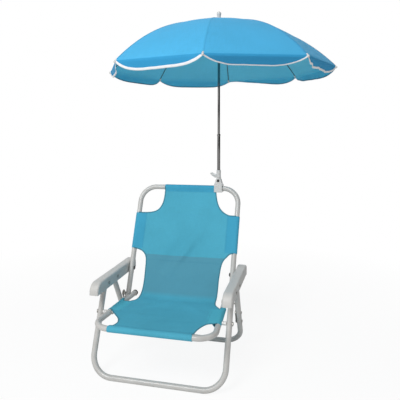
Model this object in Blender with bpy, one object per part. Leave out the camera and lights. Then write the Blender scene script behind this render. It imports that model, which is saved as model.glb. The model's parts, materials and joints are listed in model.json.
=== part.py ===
"""Child's folding beach chair with a small umbrella clamped to the top of its back.

Units are metres and Z is up. The chair faces -Y and its origin lies on the ground,
under the middle of the front ground bar. +X is the sitter's left.
The chair folds as a parallelogram: front legs, armrests, back and seat, with
the rear legs hung from the armrests and guided by a slotted plate at the seat hinge.
The umbrella stands in a tilting socket on a clamp, and its eight ribs fold as its runner slides.
"""

import math

import bmesh
import bpy
from mathutils import Matrix, Vector

# Counts and angles
TUBE_SIDES = 16
POLE_SIDES = 12
PIN_SIDES = 10
WIRE_SIDES = 6
BEND_STEPS = 6
ARC_STEPS = 5
SHEET_COLUMNS = 8
RIB_COUNT = 8
RIB_STEPS = 7
GORE_COLUMNS = 6
KNOB_LOBES = 5
LEAN = math.radians(25.0)
FOLD_ANGLE = math.radians(95.0)
REAR_LEG_LEAN = math.radians(27.31)
REAR_LEG_TURN_SHARE = 0.485
RIB_PHASE = math.radians(5.1)
SIDES = (("left", 1), ("right", -1))

# Clearances
GAP = 0.0003
BORE_PLAY = 0.0004
OVERRUN = 0.004

# Painted steel tube frames
TUBE_RADIUS = 0.0080
LEG_BEND = 0.0600
SEAT_BEND = 0.0450
BACK_BEND = 0.0520
FRONT_LEG_HALF_WIDTH = 0.1890
REAR_LEG_HALF_WIDTH = 0.1912
BACK_HALF_WIDTH = 0.1662
SEAT_FRONT_HALF_WIDTH = 0.1680
SEAT_REAR_HALF_WIDTH = 0.1482
SEAT_HEIGHT = 0.1660
SEAT_FRONT_REACH = 0.1014
SEAT_PIVOT_SPACING = 0.1502
BACK_LENGTH = 0.3610
TUBE_END_MARGIN = 0.0130
LEG_TOP_MARGIN = 0.0104

# Armrests, moulded channels open at the bottom
CRANK_LENGTH = 0.0826
ARM_LEG_SPACING = 0.0610
ARM_INNER_FACE = 0.1747
ARM_OUTER_FACE = 0.2025
ARM_WALL = 0.0022
ARM_ROOF_RISE = 0.0198
ARM_SIDE_DROP = 0.0135
ARM_FRONT_REACH = 0.0750
ARM_REAR_REACH = 0.0600
ARM_FRONT_ROUND = 0.0300
ARM_REAR_ROUND = 0.0140
ARM_EDGE_ROUND = 0.0050

# Rivets, bolts, spacers and caps
RIVET_RADIUS = 0.0024
RIVET_HEAD_RADIUS = 0.0048
RIVET_HEAD_HEIGHT = 0.0016
BOLT_RADIUS = 0.0030
BOLT_HEAD_RADIUS = 0.0060
BOLT_HEAD_HEIGHT = 0.0028
HEAD_FLAT_SHARE = 0.6
HEAD_SHOULDER_SHARE = 0.5
SPACER_RADIUS = 0.0055
CAP_WALL = 0.0007
CAP_SKIRT = 0.0040
CAP_DOME = 0.0030
CAP_EDGE_SHARE = 0.3
CAP_CROWN_SHARE = 0.7

# Slotted guide plates on the rear legs
PLATE_THICKNESS = 0.0020
PLATE_HALF_WIDTH = 0.0100
PLATE_END_MARGIN = 0.0020
PLATE_LOBE_RADIUS = 0.0072
PLATE_RIVET_SHARES = (0.36, 0.86)

# Fabric sling
CLOTH = 0.0012
SLEEVE_GAP = 0.0004
SEAT_SAG = 0.0100
BACK_SAG = 0.0120
SAG_RISE_SHARE = 0.5
TOP_SLEEVE_HALF = 0.0840
FRONT_SLEEVE_HALF = 0.1130
SHEET_SETBACK = 0.0050
WAIST_HALF = 0.1190
SEAT_WING_SETBACK = 0.0897
SEAT_WING_LENGTH = 0.0860
SEAT_CUT_LENGTH = 0.0240
BACK_WING_LOW_SHARE = 0.424
BACK_WING_HIGH_SHARE = 0.748
TOP_CUT_SHARE = 0.886
WAIST_SHARE = 0.305
CREASE_RADIUS = 0.0600
CREASE_LEAD = 0.0450
CREASE_HANDLE_SHARE = 0.55
CREASE_SAG_SHARE = 0.6
CREASE_ROW_SHARES = (0.25, 0.5, 0.75, 0.97)
CUT_ROW_SHARES = (0.08, 0.2, 0.4, 0.7, 1.0)

# Umbrella clamp, hooked over the top bar, with a screw through its rear lip
CLAMP_X = 0.0985
CLAMP_HALF_WIDTH = 0.0135
CLAMP_FRONT_REACH = 0.0130
CLAMP_REAR_REACH = 0.0170
CLAMP_DROP = 0.0120
CLAMP_SHOULDER = 0.0120
CLAMP_EDGE = 0.0012
EAR_RADIUS = 0.0085
EAR_HALF_DEPTH = 0.0105
EAR_STEP = 0.0140
TILT_PIVOT_RISE = 0.0264
TILT_BOLT_RADIUS = 0.0024
TILT_HEAD_RADIUS = 0.0046
CLAMP_SCREW_RADIUS = 0.0030
KNOB_RADIUS = 0.0100
KNOB_LENGTH = 0.0090
KNOB_CLEARANCE = 0.0015
KNOB_LOBE_SHARE = 0.12

# Tilting socket for the pole, and its lock screw
TONGUE_RADIUS = 0.0075
TONGUE_THICKNESS = 0.0090
NECK_HALF_WIDTH = 0.0060
SOCKET_RADIUS = 0.0072
SOCKET_FLANGE_RADIUS = 0.0084
SOCKET_FLANGE_HEIGHT = 0.0022
SOCKET_LENGTH = 0.0255
SOCKET_FLOOR = 0.0030
BOSS_RADIUS = 0.0038
BOSS_REACH = 0.0095
LOCK_RISE = 0.0088
LOCK_SCREW_RADIUS = 0.0020
LOCK_HUB_RADIUS = 0.0034
WING_REACH = 0.0280
WING_HALF_HEIGHT = 0.0078
WING_THICKNESS = 0.0030
WING_END_ROUND = 0.0040

# Two-piece pole with a sprung snap button
POLE_RADIUS = 0.0050
POLE_WALL = 0.0007
UPPER_POLE_RADIUS = 0.0040
UPPER_POLE_WALL = 0.0007
POLE_JOINT_RISE = 0.1760
POLE_OVERLAP = 0.0400
POLE_LIP = 0.0006
POLE_LIP_HEIGHT = 0.0050
SNAP_DROP = 0.0140
SNAP_RADIUS = 0.0018
SNAP_PROUD = 0.0016
SNAP_BASE_RADIUS = 0.0026
SNAP_BASE_DEPTH = 0.0011
SNAP_BASE_THICKNESS = 0.0007
SPRING_LENGTH = 0.0200
SPRING_WIDTH = 0.0024
SPRING_THICKNESS = 0.0004
SPRING_REACH = 0.0010

# Crown, ribs, stretchers and runner
RIM_RISE = 0.3744
RIB_TIP_RADIUS = 0.3600
CANOPY_HEIGHT = 0.1460
CROWN_PIVOT_RADIUS = 0.0105
CROWN_RADIUS = 0.0135
CROWN_CAP = 0.0067
CROWN_FOOT = 0.0052
CROWN_EDGE = 0.0020
SLOT_ROOT_RADIUS = 0.0074
SLOT_RISE = 0.0034
WIRE_RADIUS = 0.0006
RIB_RADIUS = 0.0011
RIB_EYE_RADIUS = 0.0026
RIB_EYE_THICKNESS = 0.0020
TIP_CAP_RADIUS = 0.0025
TIP_CAP_LENGTH = 0.0080
TIP_CAP_TAPER = 0.0050
LUG_DISTANCE = 0.1235
LUG_DROP = 0.0030
LUG_RADIUS = 0.0024
LUG_THICKNESS = 0.0020
FORK_PIN_RADIUS = 0.0008
FORK_RADIUS = 0.0018
FORK_LENGTH = 0.0080
FORK_SLOT = 0.0050
FORK_CHEEK = 0.0008
STRETCHER_RADIUS = 0.0010
STRETCHER_EYE_RADIUS = 0.0022
STRETCHER_EYE_THICKNESS = 0.0018
RUNNER_COLLAR_RADIUS = 0.0071
RUNNER_COLLAR_LENGTH = 0.0260
RUNNER_GRIP_RADIUS = 0.0078
RUNNER_GRIP_LENGTH = 0.0060
RUNNER_FLANGE_HEIGHT = 0.0080

# Umbrella cover and finial
CANOPY_CLOTH = 0.0008
HEM_DROP = 0.0230
HEM_BAND = 0.0160
HEM_TUCK = 0.0020
HEM_FULLNESS = 3
FINIAL_BASE_RADIUS = 0.0085
FINIAL_BASE_HEIGHT = 0.0016
FINIAL_RADIUS = 0.0055
FINIAL_WAIST_RADIUS = 0.0042
FINIAL_HEIGHT = 0.0200
FINIAL_WAIST_SHARE = 0.5
FINIAL_SHOULDER_SHARE = 0.8
FINIAL_SPIGOT = 0.0080

X_AXIS = Vector((1, 0, 0))
Y_AXIS = Vector((0, 1, 0))
Z_AXIS = Vector((0, 0, 1))
LEAN_UP = Vector((0, math.sin(LEAN), math.cos(LEAN)))
LEAN_FRONT = Vector((0, -math.cos(LEAN), math.sin(LEAN)))
# The ground bars are faceted with one flat facing straight down.
BAR_HEIGHT = TUBE_RADIUS * math.cos(math.pi / TUBE_SIDES)

# Joint axes in the side view
FRONT_BAR = Vector((0, 0, BAR_HEIGHT))
SEAT_FRONT_PIVOT = FRONT_BAR + LEAN_UP * (SEAT_HEIGHT - BAR_HEIGHT) / math.cos(LEAN)
SEAT_HINGE = SEAT_FRONT_PIVOT + Y_AXIS * SEAT_PIVOT_SPACING
ARM_FRONT_PIVOT = SEAT_FRONT_PIVOT + LEAN_UP * CRANK_LENGTH
ARM_BACK_PIVOT = SEAT_HINGE + LEAN_UP * CRANK_LENGTH
ARM_LEG_PIVOT = ARM_FRONT_PIVOT + Y_AXIS * ARM_LEG_SPACING
REAR_LEG_DOWN = Vector((0, math.sin(REAR_LEG_LEAN), -math.cos(REAR_LEG_LEAN)))
REAR_BAR = ARM_LEG_PIVOT + REAR_LEG_DOWN * (ARM_LEG_PIVOT.z - BAR_HEIGHT) / math.cos(REAR_LEG_LEAN)
TOP_BAR = SEAT_HINGE + LEAN_UP * BACK_LENGTH
SEAT_FRONT_Y = SEAT_FRONT_PIVOT.y - SEAT_FRONT_REACH
ARM_ROOF = ARM_FRONT_PIVOT.z + ARM_ROOF_RISE
ARM_FOOT = ARM_FRONT_PIVOT.z - ARM_SIDE_DROP
SLING_OFFSET = TUBE_RADIUS + SLEEVE_GAP + GAP

# Places of the sling's wings, where it wraps the side tubes, and of its cut-outs
SEAT_WING_FRONT = SEAT_FRONT_Y + SEAT_WING_SETBACK
SEAT_WING_REAR = SEAT_WING_FRONT + SEAT_WING_LENGTH
WAIST_HIGH = BACK_LENGTH * WAIST_SHARE
BACK_WING_LOW = BACK_LENGTH * BACK_WING_LOW_SHARE
BACK_WING_HIGH = BACK_LENGTH * BACK_WING_HIGH_SHARE
TOP_CUT_HIGH = BACK_LENGTH * TOP_CUT_SHARE

# Umbrella places
CLAMP_BAR = Vector((CLAMP_X, TOP_BAR.y, TOP_BAR.z))
TILT_PIVOT = CLAMP_BAR + Z_AXIS * TILT_PIVOT_RISE
SOCKET_BASE = TILT_PIVOT + Z_AXIS * (EAR_RADIUS + GAP)
LOCK_SCREW_PLACE = SOCKET_BASE + Z_AXIS * LOCK_RISE
POLE_BASE = SOCKET_BASE + Z_AXIS * (SOCKET_FLOOR + GAP)
POLE_JOINT = CLAMP_BAR + Z_AXIS * POLE_JOINT_RISE
SNAP_PLACE = POLE_JOINT - Z_AXIS * SNAP_DROP
RIM = CLAMP_BAR + Z_AXIS * RIM_RISE
APEX = RIM + Z_AXIS * CANOPY_HEIGHT
CROWN_TOP = APEX - Z_AXIS * (CANOPY_CLOTH + GAP)
CROWN_CENTRE = CROWN_TOP - Z_AXIS * CROWN_CAP

# A rib is a parabola from its pivot at the crown; its lug carries the stretcher's fork.
RIB_REACH = RIB_TIP_RADIUS - CROWN_PIVOT_RADIUS
RIB_FALL = CROWN_CENTRE.z - RIM.z
RIB_CURVE = RIB_FALL / RIB_REACH**2
LUG_FALL = RIB_CURVE * LUG_DISTANCE**2 + LUG_DROP
STRETCHER_SPAN = math.hypot(LUG_DISTANCE, LUG_FALL)
STRETCHER_RISE = math.atan2(LUG_FALL, LUG_DISTANCE)
RUNNER_CENTRE = CROWN_CENTRE - Z_AXIS * 2 * LUG_FALL
SLOT_WIDTH = 2 * (RIB_RADIUS + GAP)


def clear_scene():
    for obj in list(bpy.data.objects):
        bpy.data.objects.remove(obj, do_unlink=True)


def make_material(name, colour, roughness, metallic=0.0):
    material = bpy.data.materials.new(name)
    material.use_nodes = True
    shader = material.node_tree.nodes["Principled BSDF"]
    shader.inputs["Base Color"].default_value = (*colour, 1.0)
    shader.inputs["Roughness"].default_value = roughness
    shader.inputs["Metallic"].default_value = metallic
    return material


MATERIALS = {
    "paint": ((0.66, 0.65, 0.62), 0.35, 0.0),
    "arm_plastic": ((0.72, 0.71, 0.68), 0.45, 0.0),
    "white_plastic": ((0.85, 0.85, 0.84), 0.40, 0.0),
    "dark_plastic": ((0.05, 0.05, 0.05), 0.50, 0.0),
    "zinc": ((0.55, 0.53, 0.50), 0.35, 1.0),
    "chrome": ((0.80, 0.80, 0.80), 0.12, 1.0),
    "sling_cloth": ((0.06, 0.33, 0.50), 0.85, 0.0),
    "canopy_cloth": ((0.09, 0.45, 0.78), 0.75, 0.0),
}
PALETTE = {}


def new_object(name, mesh, material):
    obj = bpy.data.objects.new(name, mesh)
    bpy.context.scene.collection.objects.link(obj)
    if material and not mesh.materials:
        if material not in PALETTE:
            colour, roughness, metallic = MATERIALS[material]
            PALETTE[material] = make_material(material, colour, roughness, metallic)
        mesh.materials.append(PALETTE[material])
    return obj


def smooth_mesh(name, bm, sharp_degrees=35.0):
    mesh = bpy.data.meshes.new(name)
    bm.to_mesh(mesh)
    bm.free()
    mesh.shade_smooth()
    mesh.set_sharp_from_angle(angle=math.radians(sharp_degrees))
    return mesh


def mesh_object(name, bm, material):
    """Turn a closed bmesh into a smooth-shaded object with its normals pointing out."""
    bmesh.ops.recalc_face_normals(bm, faces=bm.faces)
    if bm.calc_volume(signed=True) < 0:
        bmesh.ops.reverse_faces(bm, faces=bm.faces)
    return new_object(name, smooth_mesh(name, bm), material)


def set_origin(obj, point):
    """Move an object's origin to a joint axis without moving its shape."""
    obj.data.transform(Matrix.Translation(-point))
    obj.location = point


def hidden(name, bm):
    """A shape that is only cut from another or joined to it."""
    obj = mesh_object(name, bm, None)
    obj.hide_render = True
    obj.display_type = "WIRE"
    return obj


def combine(target, other, operation):
    modifier = target.modifiers.new(operation.title() + " " + other.name, "BOOLEAN")
    modifier.operation = operation
    modifier.solver = "EXACT"
    modifier.object = other


def join(target, name, bm):
    combine(target, hidden(name, bm), "UNION")


def cut(target, name, bm):
    combine(target, hidden(name, bm), "DIFFERENCE")


def axis_frame(axis):
    """Rotation that carries Z onto the given axis."""
    return Z_AXIS.rotation_difference(Vector(axis)).to_matrix().to_4x4()


def turned_bmesh(profile, sides, closed=False, place=None, axis=Z_AXIS):
    """Spin a profile of (radius, height) points about an axis. A closed profile makes a ring."""
    bm = bmesh.new()
    verts = [bm.verts.new((radius, 0, height)) for radius, height in profile]
    edges = [bm.edges.new(pair) for pair in zip(verts, verts[1:])]
    if closed:
        edges.append(bm.edges.new((verts[-1], verts[0])))
    bmesh.ops.spin(
        bm, geom=verts + edges, cent=(0, 0, 0), axis=(0, 0, 1), angle=math.tau, steps=sides, use_merge=True
    )
    bmesh.ops.remove_doubles(bm, verts=bm.verts, dist=GAP * GAP)
    if place is not None:
        bm.transform(Matrix.Translation(place) @ axis_frame(axis))
    return bm


def turned(name, profile, place, axis, material, sides=PIN_SIDES, closed=False):
    return mesh_object(name, turned_bmesh(profile, sides, closed, place, axis), material)


def rod_bmesh(place, axis, radius, length, sides=PIN_SIDES):
    """A plain round rod centred on a point."""
    profile = [(0, -length / 2), (radius, -length / 2), (radius, length / 2), (0, length / 2)]
    return turned_bmesh(profile, sides, False, place, axis)


def drill(target, place, axis, radius, length, sides=PIN_SIDES):
    """Bore a round hole centred on a point."""
    cut(target, target.name + "_drill", rod_bmesh(place, axis, radius, length, sides))


def box_bmesh(low, high):
    """A box between two opposite corners."""
    bm = bmesh.new()
    bmesh.ops.create_cube(bm, size=1)
    size = high - low
    bm.transform(Matrix.Translation((low + high) / 2) @ Matrix.Diagonal((*size, 1)))
    return bm


def rounded_path(corners, radii):
    """Points along straight runs joined by arcs of the given radii at the inner corners."""
    path = [corners[0]]
    for before, corner, after, radius in zip(corners, corners[1:], corners[2:], radii):
        arrive = (corner - before).normalized()
        leave = (after - corner).normalized()
        turn = arrive.angle(leave)
        reach = radius * math.tan(turn / 2)
        start = corner - arrive * reach
        inward = (leave - arrive * arrive.dot(leave)).normalized()
        centre = start + inward * radius
        for step in range(BEND_STEPS + 1):
            angle = turn * step / BEND_STEPS
            path.append(centre - inward * radius * math.cos(angle) + arrive * radius * math.sin(angle))
    path.append(corners[-1])
    return path


def swept_bmesh(path, normal, radius, sides, phase=0.0):
    """Round tube along a flat path whose plane has the given normal."""
    bm = bmesh.new()
    rings = []
    for index, point in enumerate(path):
        before = path[max(index - 1, 0)]
        after = path[min(index + 1, len(path) - 1)]
        arrive = (point - before).normalized() if index else (after - point).normalized()
        leave = (after - point).normalized() if index < len(path) - 1 else arrive
        ahead = (arrive + leave).normalized()
        across = ahead.cross(normal).normalized()
        # A mitred ring keeps the tube's width on both sides of a bend.
        stretch = 1 / ahead.dot(arrive)
        ring = []
        for side in range(sides):
            angle = math.tau * side / sides + phase
            offset = across * radius * stretch * math.cos(angle) + normal * radius * math.sin(angle)
            ring.append(bm.verts.new(point + offset))
        rings.append(ring)
    for low, high in zip(rings, rings[1:]):
        for side in range(sides):
            following = (side + 1) % sides
            bm.faces.new((low[side], low[following], high[following], high[side]))
    bm.faces.new(rings[0])
    bm.faces.new(rings[-1])
    return bm


def facet_down_phase(bar_direction, normal):
    """Ring phase that puts the middle of one facet of a level bar straight down."""
    across = Vector(bar_direction).cross(normal).normalized()
    down = math.atan2(-normal.z, -across.z)
    return down + math.pi / TUBE_SIDES


def u_frame(name, bar_centre, reach, half_bar, half_end, bend, on_ground=False):
    """A tube bent into a U: a bar along X and two legs that end at reach and its mirror."""
    end_left = bar_centre + reach + X_AXIS * half_end
    end_right = bar_centre + reach - X_AXIS * half_end
    corner_left = bar_centre + X_AXIS * half_bar
    corner_right = bar_centre - X_AXIS * half_bar
    path = rounded_path([end_left, corner_left, corner_right, end_right], [bend, bend])
    normal = reach.cross(X_AXIS).normalized()
    phase = facet_down_phase(-X_AXIS, normal) if on_ground else math.pi / TUBE_SIDES
    return mesh_object(name, swept_bmesh(path, normal, TUBE_RADIUS, TUBE_SIDES, phase), "paint")


def at_x(point, x):
    return Vector((x, point.y, point.z))


def prism_bmesh(outline, offset):
    """Extrude a closed outline by an offset."""
    bm = bmesh.new()
    face = bm.faces.new([bm.verts.new(point) for point in outline])
    extruded = bmesh.ops.extrude_face_region(bm, geom=[face])
    moved = [item for item in extruded["geom"] if isinstance(item, bmesh.types.BMVert)]
    bmesh.ops.translate(bm, verts=moved, vec=offset)
    return bm


def capsule_outline(start, end, radius, normal, steps):
    """Outline of a slot shape from start to end, in the plane with the given normal."""
    along = (end - start).normalized()
    across = normal.cross(along)
    points = []
    for centre, forward, sideways in ((end, along, across), (start, -along, -across)):
        for step in range(steps + 1):
            angle = math.pi * step / steps
            points.append(centre + sideways * radius * math.cos(angle) + forward * radius * math.sin(angle))
    return points


def capsule_bmesh(start, end, radius, normal, thickness, steps=ARC_STEPS):
    """A flat plate with round ends, centred on the line from start to end."""
    outline = capsule_outline(start, end, radius, normal, steps)
    return prism_bmesh([point - normal * thickness / 2 for point in outline], normal * thickness)


def headed_pin(name, point, side, inner, outer, shank, head, height, material):
    """A pin along X with a low domed head at each end, seated just off the faces inner and outer."""
    low = inner - GAP
    high = outer + GAP
    flat = head * HEAD_FLAT_SHARE
    shoulder = height * HEAD_SHOULDER_SHARE
    profile = [
        (0, low - height),
        (flat, low - height),
        (head, low - shoulder),
        (head, low),
        (shank, low),
        (shank, high),
        (head, high),
        (head, high + shoulder),
        (flat, high + height),
        (0, high + height),
    ]
    return turned(name, profile, at_x(point, 0), X_AXIS * side, material)


def ring_spacer(name, point, side, inner, outer, material):
    bore = BOLT_RADIUS + GAP
    low = inner + GAP
    high = outer - GAP
    profile = [(bore, low), (SPACER_RADIUS, low), (SPACER_RADIUS, high), (bore, high)]
    return turned(name, profile, at_x(point, 0), X_AXIS * side, material, closed=True)


def seat_half_width(y):
    """Centre-line half width of the seat's side tubes at a depth y."""
    share = (y - SEAT_FRONT_Y) / (SEAT_HINGE.y - SEAT_FRONT_Y)
    return SEAT_FRONT_HALF_WIDTH + (SEAT_REAR_HALF_WIDTH - SEAT_FRONT_HALF_WIDTH) * share


def build_frames():
    front_top = ARM_FRONT_PIVOT + LEAN_UP * LEG_TOP_MARGIN - FRONT_BAR
    front_half = FRONT_LEG_HALF_WIDTH
    front = u_frame("front_leg_frame", FRONT_BAR, front_top, front_half, front_half, LEG_BEND, True)
    rear_top = ARM_LEG_PIVOT - REAR_LEG_DOWN * LEG_TOP_MARGIN - REAR_BAR
    rear_half = REAR_LEG_HALF_WIDTH
    rear = u_frame("rear_leg_frame", REAR_BAR, rear_top, rear_half, rear_half, LEG_BEND, True)
    seat_bar = Vector((0, SEAT_FRONT_Y, SEAT_HEIGHT))
    seat_end = SEAT_HINGE + Y_AXIS * TUBE_END_MARGIN
    seat_half = seat_half_width(seat_end.y)
    seat = u_frame("seat_frame", seat_bar, seat_end - seat_bar, SEAT_FRONT_HALF_WIDTH, seat_half, SEAT_BEND)
    back_end = -LEAN_UP * (BACK_LENGTH + TUBE_END_MARGIN)
    back = u_frame("back_frame", TOP_BAR, back_end, BACK_HALF_WIDTH, BACK_HALF_WIDTH, BACK_BEND)
    bolt_bore = BOLT_RADIUS + BORE_PLAY
    rivet_bore = RIVET_RADIUS + BORE_PLAY
    length = 2 * (TUBE_RADIUS + OVERRUN)
    for _, side in SIDES:
        drill(front, at_x(SEAT_FRONT_PIVOT, side * front_half), X_AXIS, bolt_bore, length)
        drill(front, at_x(ARM_FRONT_PIVOT, side * front_half), X_AXIS, rivet_bore, length)
        drill(rear, at_x(ARM_LEG_PIVOT, side * rear_half), X_AXIS, rivet_bore, length)
        for share in PLATE_RIVET_SHARES:
            drill(rear, at_x(plate_rivet_point(share), side * rear_half), X_AXIS, rivet_bore, length)
        seat_side = side * seat_half_width(SEAT_FRONT_PIVOT.y)
        drill(seat, at_x(SEAT_FRONT_PIVOT, seat_side), X_AXIS, bolt_bore, length)
        drill(seat, at_x(SEAT_HINGE, side * SEAT_REAR_HALF_WIDTH), X_AXIS, bolt_bore, length)
        drill(back, at_x(SEAT_HINGE, side * BACK_HALF_WIDTH), X_AXIS, bolt_bore, length)
        drill(back, at_x(ARM_BACK_PIVOT, side * BACK_HALF_WIDTH), X_AXIS, bolt_bore, length)
    set_origin(front, SEAT_FRONT_PIVOT.copy())
    set_origin(rear, ARM_LEG_PIVOT.copy())
    set_origin(back, SEAT_HINGE.copy())


def slot_ends():
    """Where the seat hinge lies along the rear leg, measured on the leg, with the chair open and folded."""
    ends = []
    crank = LEAN_UP * CRANK_LENGTH
    for fold in (0.0, FOLD_ANGLE):
        arm_pin = ARM_LEG_PIVOT + Matrix.Rotation(fold, 4, "X") @ crank - crank
        undo = Matrix.Rotation(-fold * REAR_LEG_TURN_SHARE, 4, "X")
        ends.append(ARM_LEG_PIVOT + undo @ (SEAT_HINGE - arm_pin))
    return ends


def plate_rivet_point(share):
    """A rivet's place on the rear leg's axis, at a share of the guide plate's length."""
    low, high = slot_ends()
    along = (low + (high - low) * share - ARM_LEG_PIVOT).dot(REAR_LEG_DOWN)
    return ARM_LEG_PIVOT + REAR_LEG_DOWN * along


def build_guide_plates():
    """A flat steel plate riveted to each rear leg, its slot riding on the seat hinge bolt."""
    open_end, folded_end = slot_ends()
    along = (folded_end - open_end).normalized()
    half_thickness = PLATE_THICKNESS / 2
    for side_name, side in SIDES:
        middle = side * (REAR_LEG_HALF_WIDTH - TUBE_RADIUS - GAP - half_thickness)
        start = at_x(open_end, middle)
        end = at_x(folded_end, middle)
        plate_start = start - along * PLATE_END_MARGIN
        blank = capsule_bmesh(plate_start, end, PLATE_HALF_WIDTH, X_AXIS, PLATE_THICKNESS)
        plate = mesh_object("guide_plate_" + side_name, blank, "zinc")
        lobe_start, lobe_end = (at_x(plate_rivet_point(share), middle) for share in PLATE_RIVET_SHARES)
        lobe = capsule_bmesh(lobe_start, lobe_end, PLATE_LOBE_RADIUS, X_AXIS, PLATE_THICKNESS)
        join(plate, "guide_lobe_" + side_name, lobe)
        cutter_length = PLATE_THICKNESS + 2 * OVERRUN
        slot = capsule_bmesh(start, end, BOLT_RADIUS + BORE_PLAY, X_AXIS, cutter_length)
        cut(plate, "guide_slot_" + side_name, slot)
        for place in (lobe_start, lobe_end):
            drill(plate, place, X_AXIS, RIVET_RADIUS + BORE_PLAY, cutter_length)
        set_origin(plate, ARM_LEG_PIVOT.copy())


def build_fasteners():
    plate_outer = REAR_LEG_HALF_WIDTH - TUBE_RADIUS - GAP
    plate_inner = plate_outer - PLATE_THICKNESS
    seat_half = seat_half_width(SEAT_FRONT_PIVOT.y)
    rivet = (RIVET_RADIUS, RIVET_HEAD_RADIUS, RIVET_HEAD_HEIGHT)
    bolt = (BOLT_RADIUS, BOLT_HEAD_RADIUS, BOLT_HEAD_HEIGHT)
    seat_inner = seat_half - TUBE_RADIUS
    seat_outer = seat_half + TUBE_RADIUS + GAP
    leg_inner = FRONT_LEG_HALF_WIDTH - TUBE_RADIUS
    leg_outer = FRONT_LEG_HALF_WIDTH + TUBE_RADIUS
    back_inner = BACK_HALF_WIDTH - TUBE_RADIUS
    back_outer = BACK_HALF_WIDTH + TUBE_RADIUS
    rear_outer = REAR_LEG_HALF_WIDTH + TUBE_RADIUS
    hinge_inner = SEAT_REAR_HALF_WIDTH - TUBE_RADIUS
    low_bolt = (BOLT_RADIUS, BOLT_HEAD_RADIUS, RIVET_HEAD_HEIGHT)
    pins = (
        ("arm_front_rivet", ARM_FRONT_PIVOT, ARM_INNER_FACE, ARM_OUTER_FACE, rivet, "arm_plastic"),
        ("arm_leg_rivet", ARM_LEG_PIVOT, ARM_INNER_FACE, ARM_OUTER_FACE, rivet, "dark_plastic"),
        ("arm_back_bolt", ARM_BACK_PIVOT, back_inner, ARM_INNER_FACE + ARM_WALL, bolt, "zinc"),
        ("seat_leg_bolt", SEAT_FRONT_PIVOT, seat_inner, leg_outer, bolt, "zinc"),
        ("hinge_bolt", SEAT_HINGE, hinge_inner, plate_outer, low_bolt, "zinc"),
    )
    for side_name, side in SIDES:
        for name, point, inner, outer, sizes, material in pins:
            headed_pin(f"{name}_{side_name}", point, side, inner, outer, *sizes, material)
        for number, share in enumerate(PLATE_RIVET_SHARES, 1):
            name = f"plate_rivet_{side_name}_{number}"
            headed_pin(name, plate_rivet_point(share), side, plate_inner, rear_outer, *rivet, "dark_plastic")
        name = "seat_leg_spacer_" + side_name
        ring_spacer(name, SEAT_FRONT_PIVOT, side, seat_outer, leg_inner, "dark_plastic")
        ring_spacer("hinge_spacer_" + side_name, SEAT_HINGE, side, back_outer, plate_inner, "zinc")


def build_caps():
    """Plastic caps over the open ends of the seat and back tubes."""
    inner = TUBE_RADIUS + GAP
    outer = inner + CAP_WALL
    profile = [
        (0, GAP),
        (inner, GAP),
        (inner, -CAP_SKIRT),
        (outer, -CAP_SKIRT),
        (outer, GAP + CAP_DOME * CAP_EDGE_SHARE),
        (outer * CAP_CROWN_SHARE, GAP + CAP_DOME),
        (0, GAP + CAP_DOME),
    ]
    seat_end_y = SEAT_HINGE.y + TUBE_END_MARGIN
    for side_name, side in SIDES:
        front = Vector((side * SEAT_FRONT_HALF_WIDTH, SEAT_FRONT_Y, SEAT_HEIGHT))
        end = Vector((side * seat_half_width(seat_end_y), seat_end_y, SEAT_HEIGHT))
        turned("seat_cap_" + side_name, profile, end, (end - front).normalized(), "dark_plastic", TUBE_SIDES)
        low = at_x(SEAT_HINGE - LEAN_UP * TUBE_END_MARGIN, side * BACK_HALF_WIDTH)
        cap = turned("back_cap_" + side_name, profile, low, -LEAN_UP, "dark_plastic", TUBE_SIDES)
        set_origin(cap, SEAT_HINGE.copy())


def arm_outline(x, wall, foot):
    """Side outline of the armrest, inset by a wall: a flat foot, a drooping nose and a rounded tail."""
    front = ARM_FRONT_PIVOT.y - ARM_FRONT_REACH + wall
    rear = ARM_BACK_PIVOT.y + ARM_REAR_REACH - wall
    roof = ARM_ROOF - wall
    points = [Vector((x, front, foot)), Vector((x, rear, foot))]
    rear_round = ARM_REAR_ROUND - wall
    front_round = ARM_FRONT_ROUND - wall
    quarter = math.pi / 2
    corners = ((rear - rear_round, rear_round, 0), (front + front_round, front_round, quarter))
    for centre_y, radius, start in corners:
        centre = Vector((x, centre_y, roof - radius))
        for step in range(ARC_STEPS + 1):
            angle = start + quarter * step / ARC_STEPS
            points.append(centre + Y_AXIS * radius * math.cos(angle) + Z_AXIS * radius * math.sin(angle))
    return points


def round_side_edges(bm, radius, segments):
    """Round the edges that run along both side faces, except along the open foot."""
    edges = []
    for edge in bm.edges:
        start, end = (vert.co for vert in edge.verts)
        if abs(start.x - end.x) < GAP and max(start.z, end.z) > ARM_FOOT + GAP:
            edges.append(edge)
    bmesh.ops.bevel(bm, geom=edges, offset=radius, segments=segments, profile=0.5, affect="EDGES")


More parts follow.
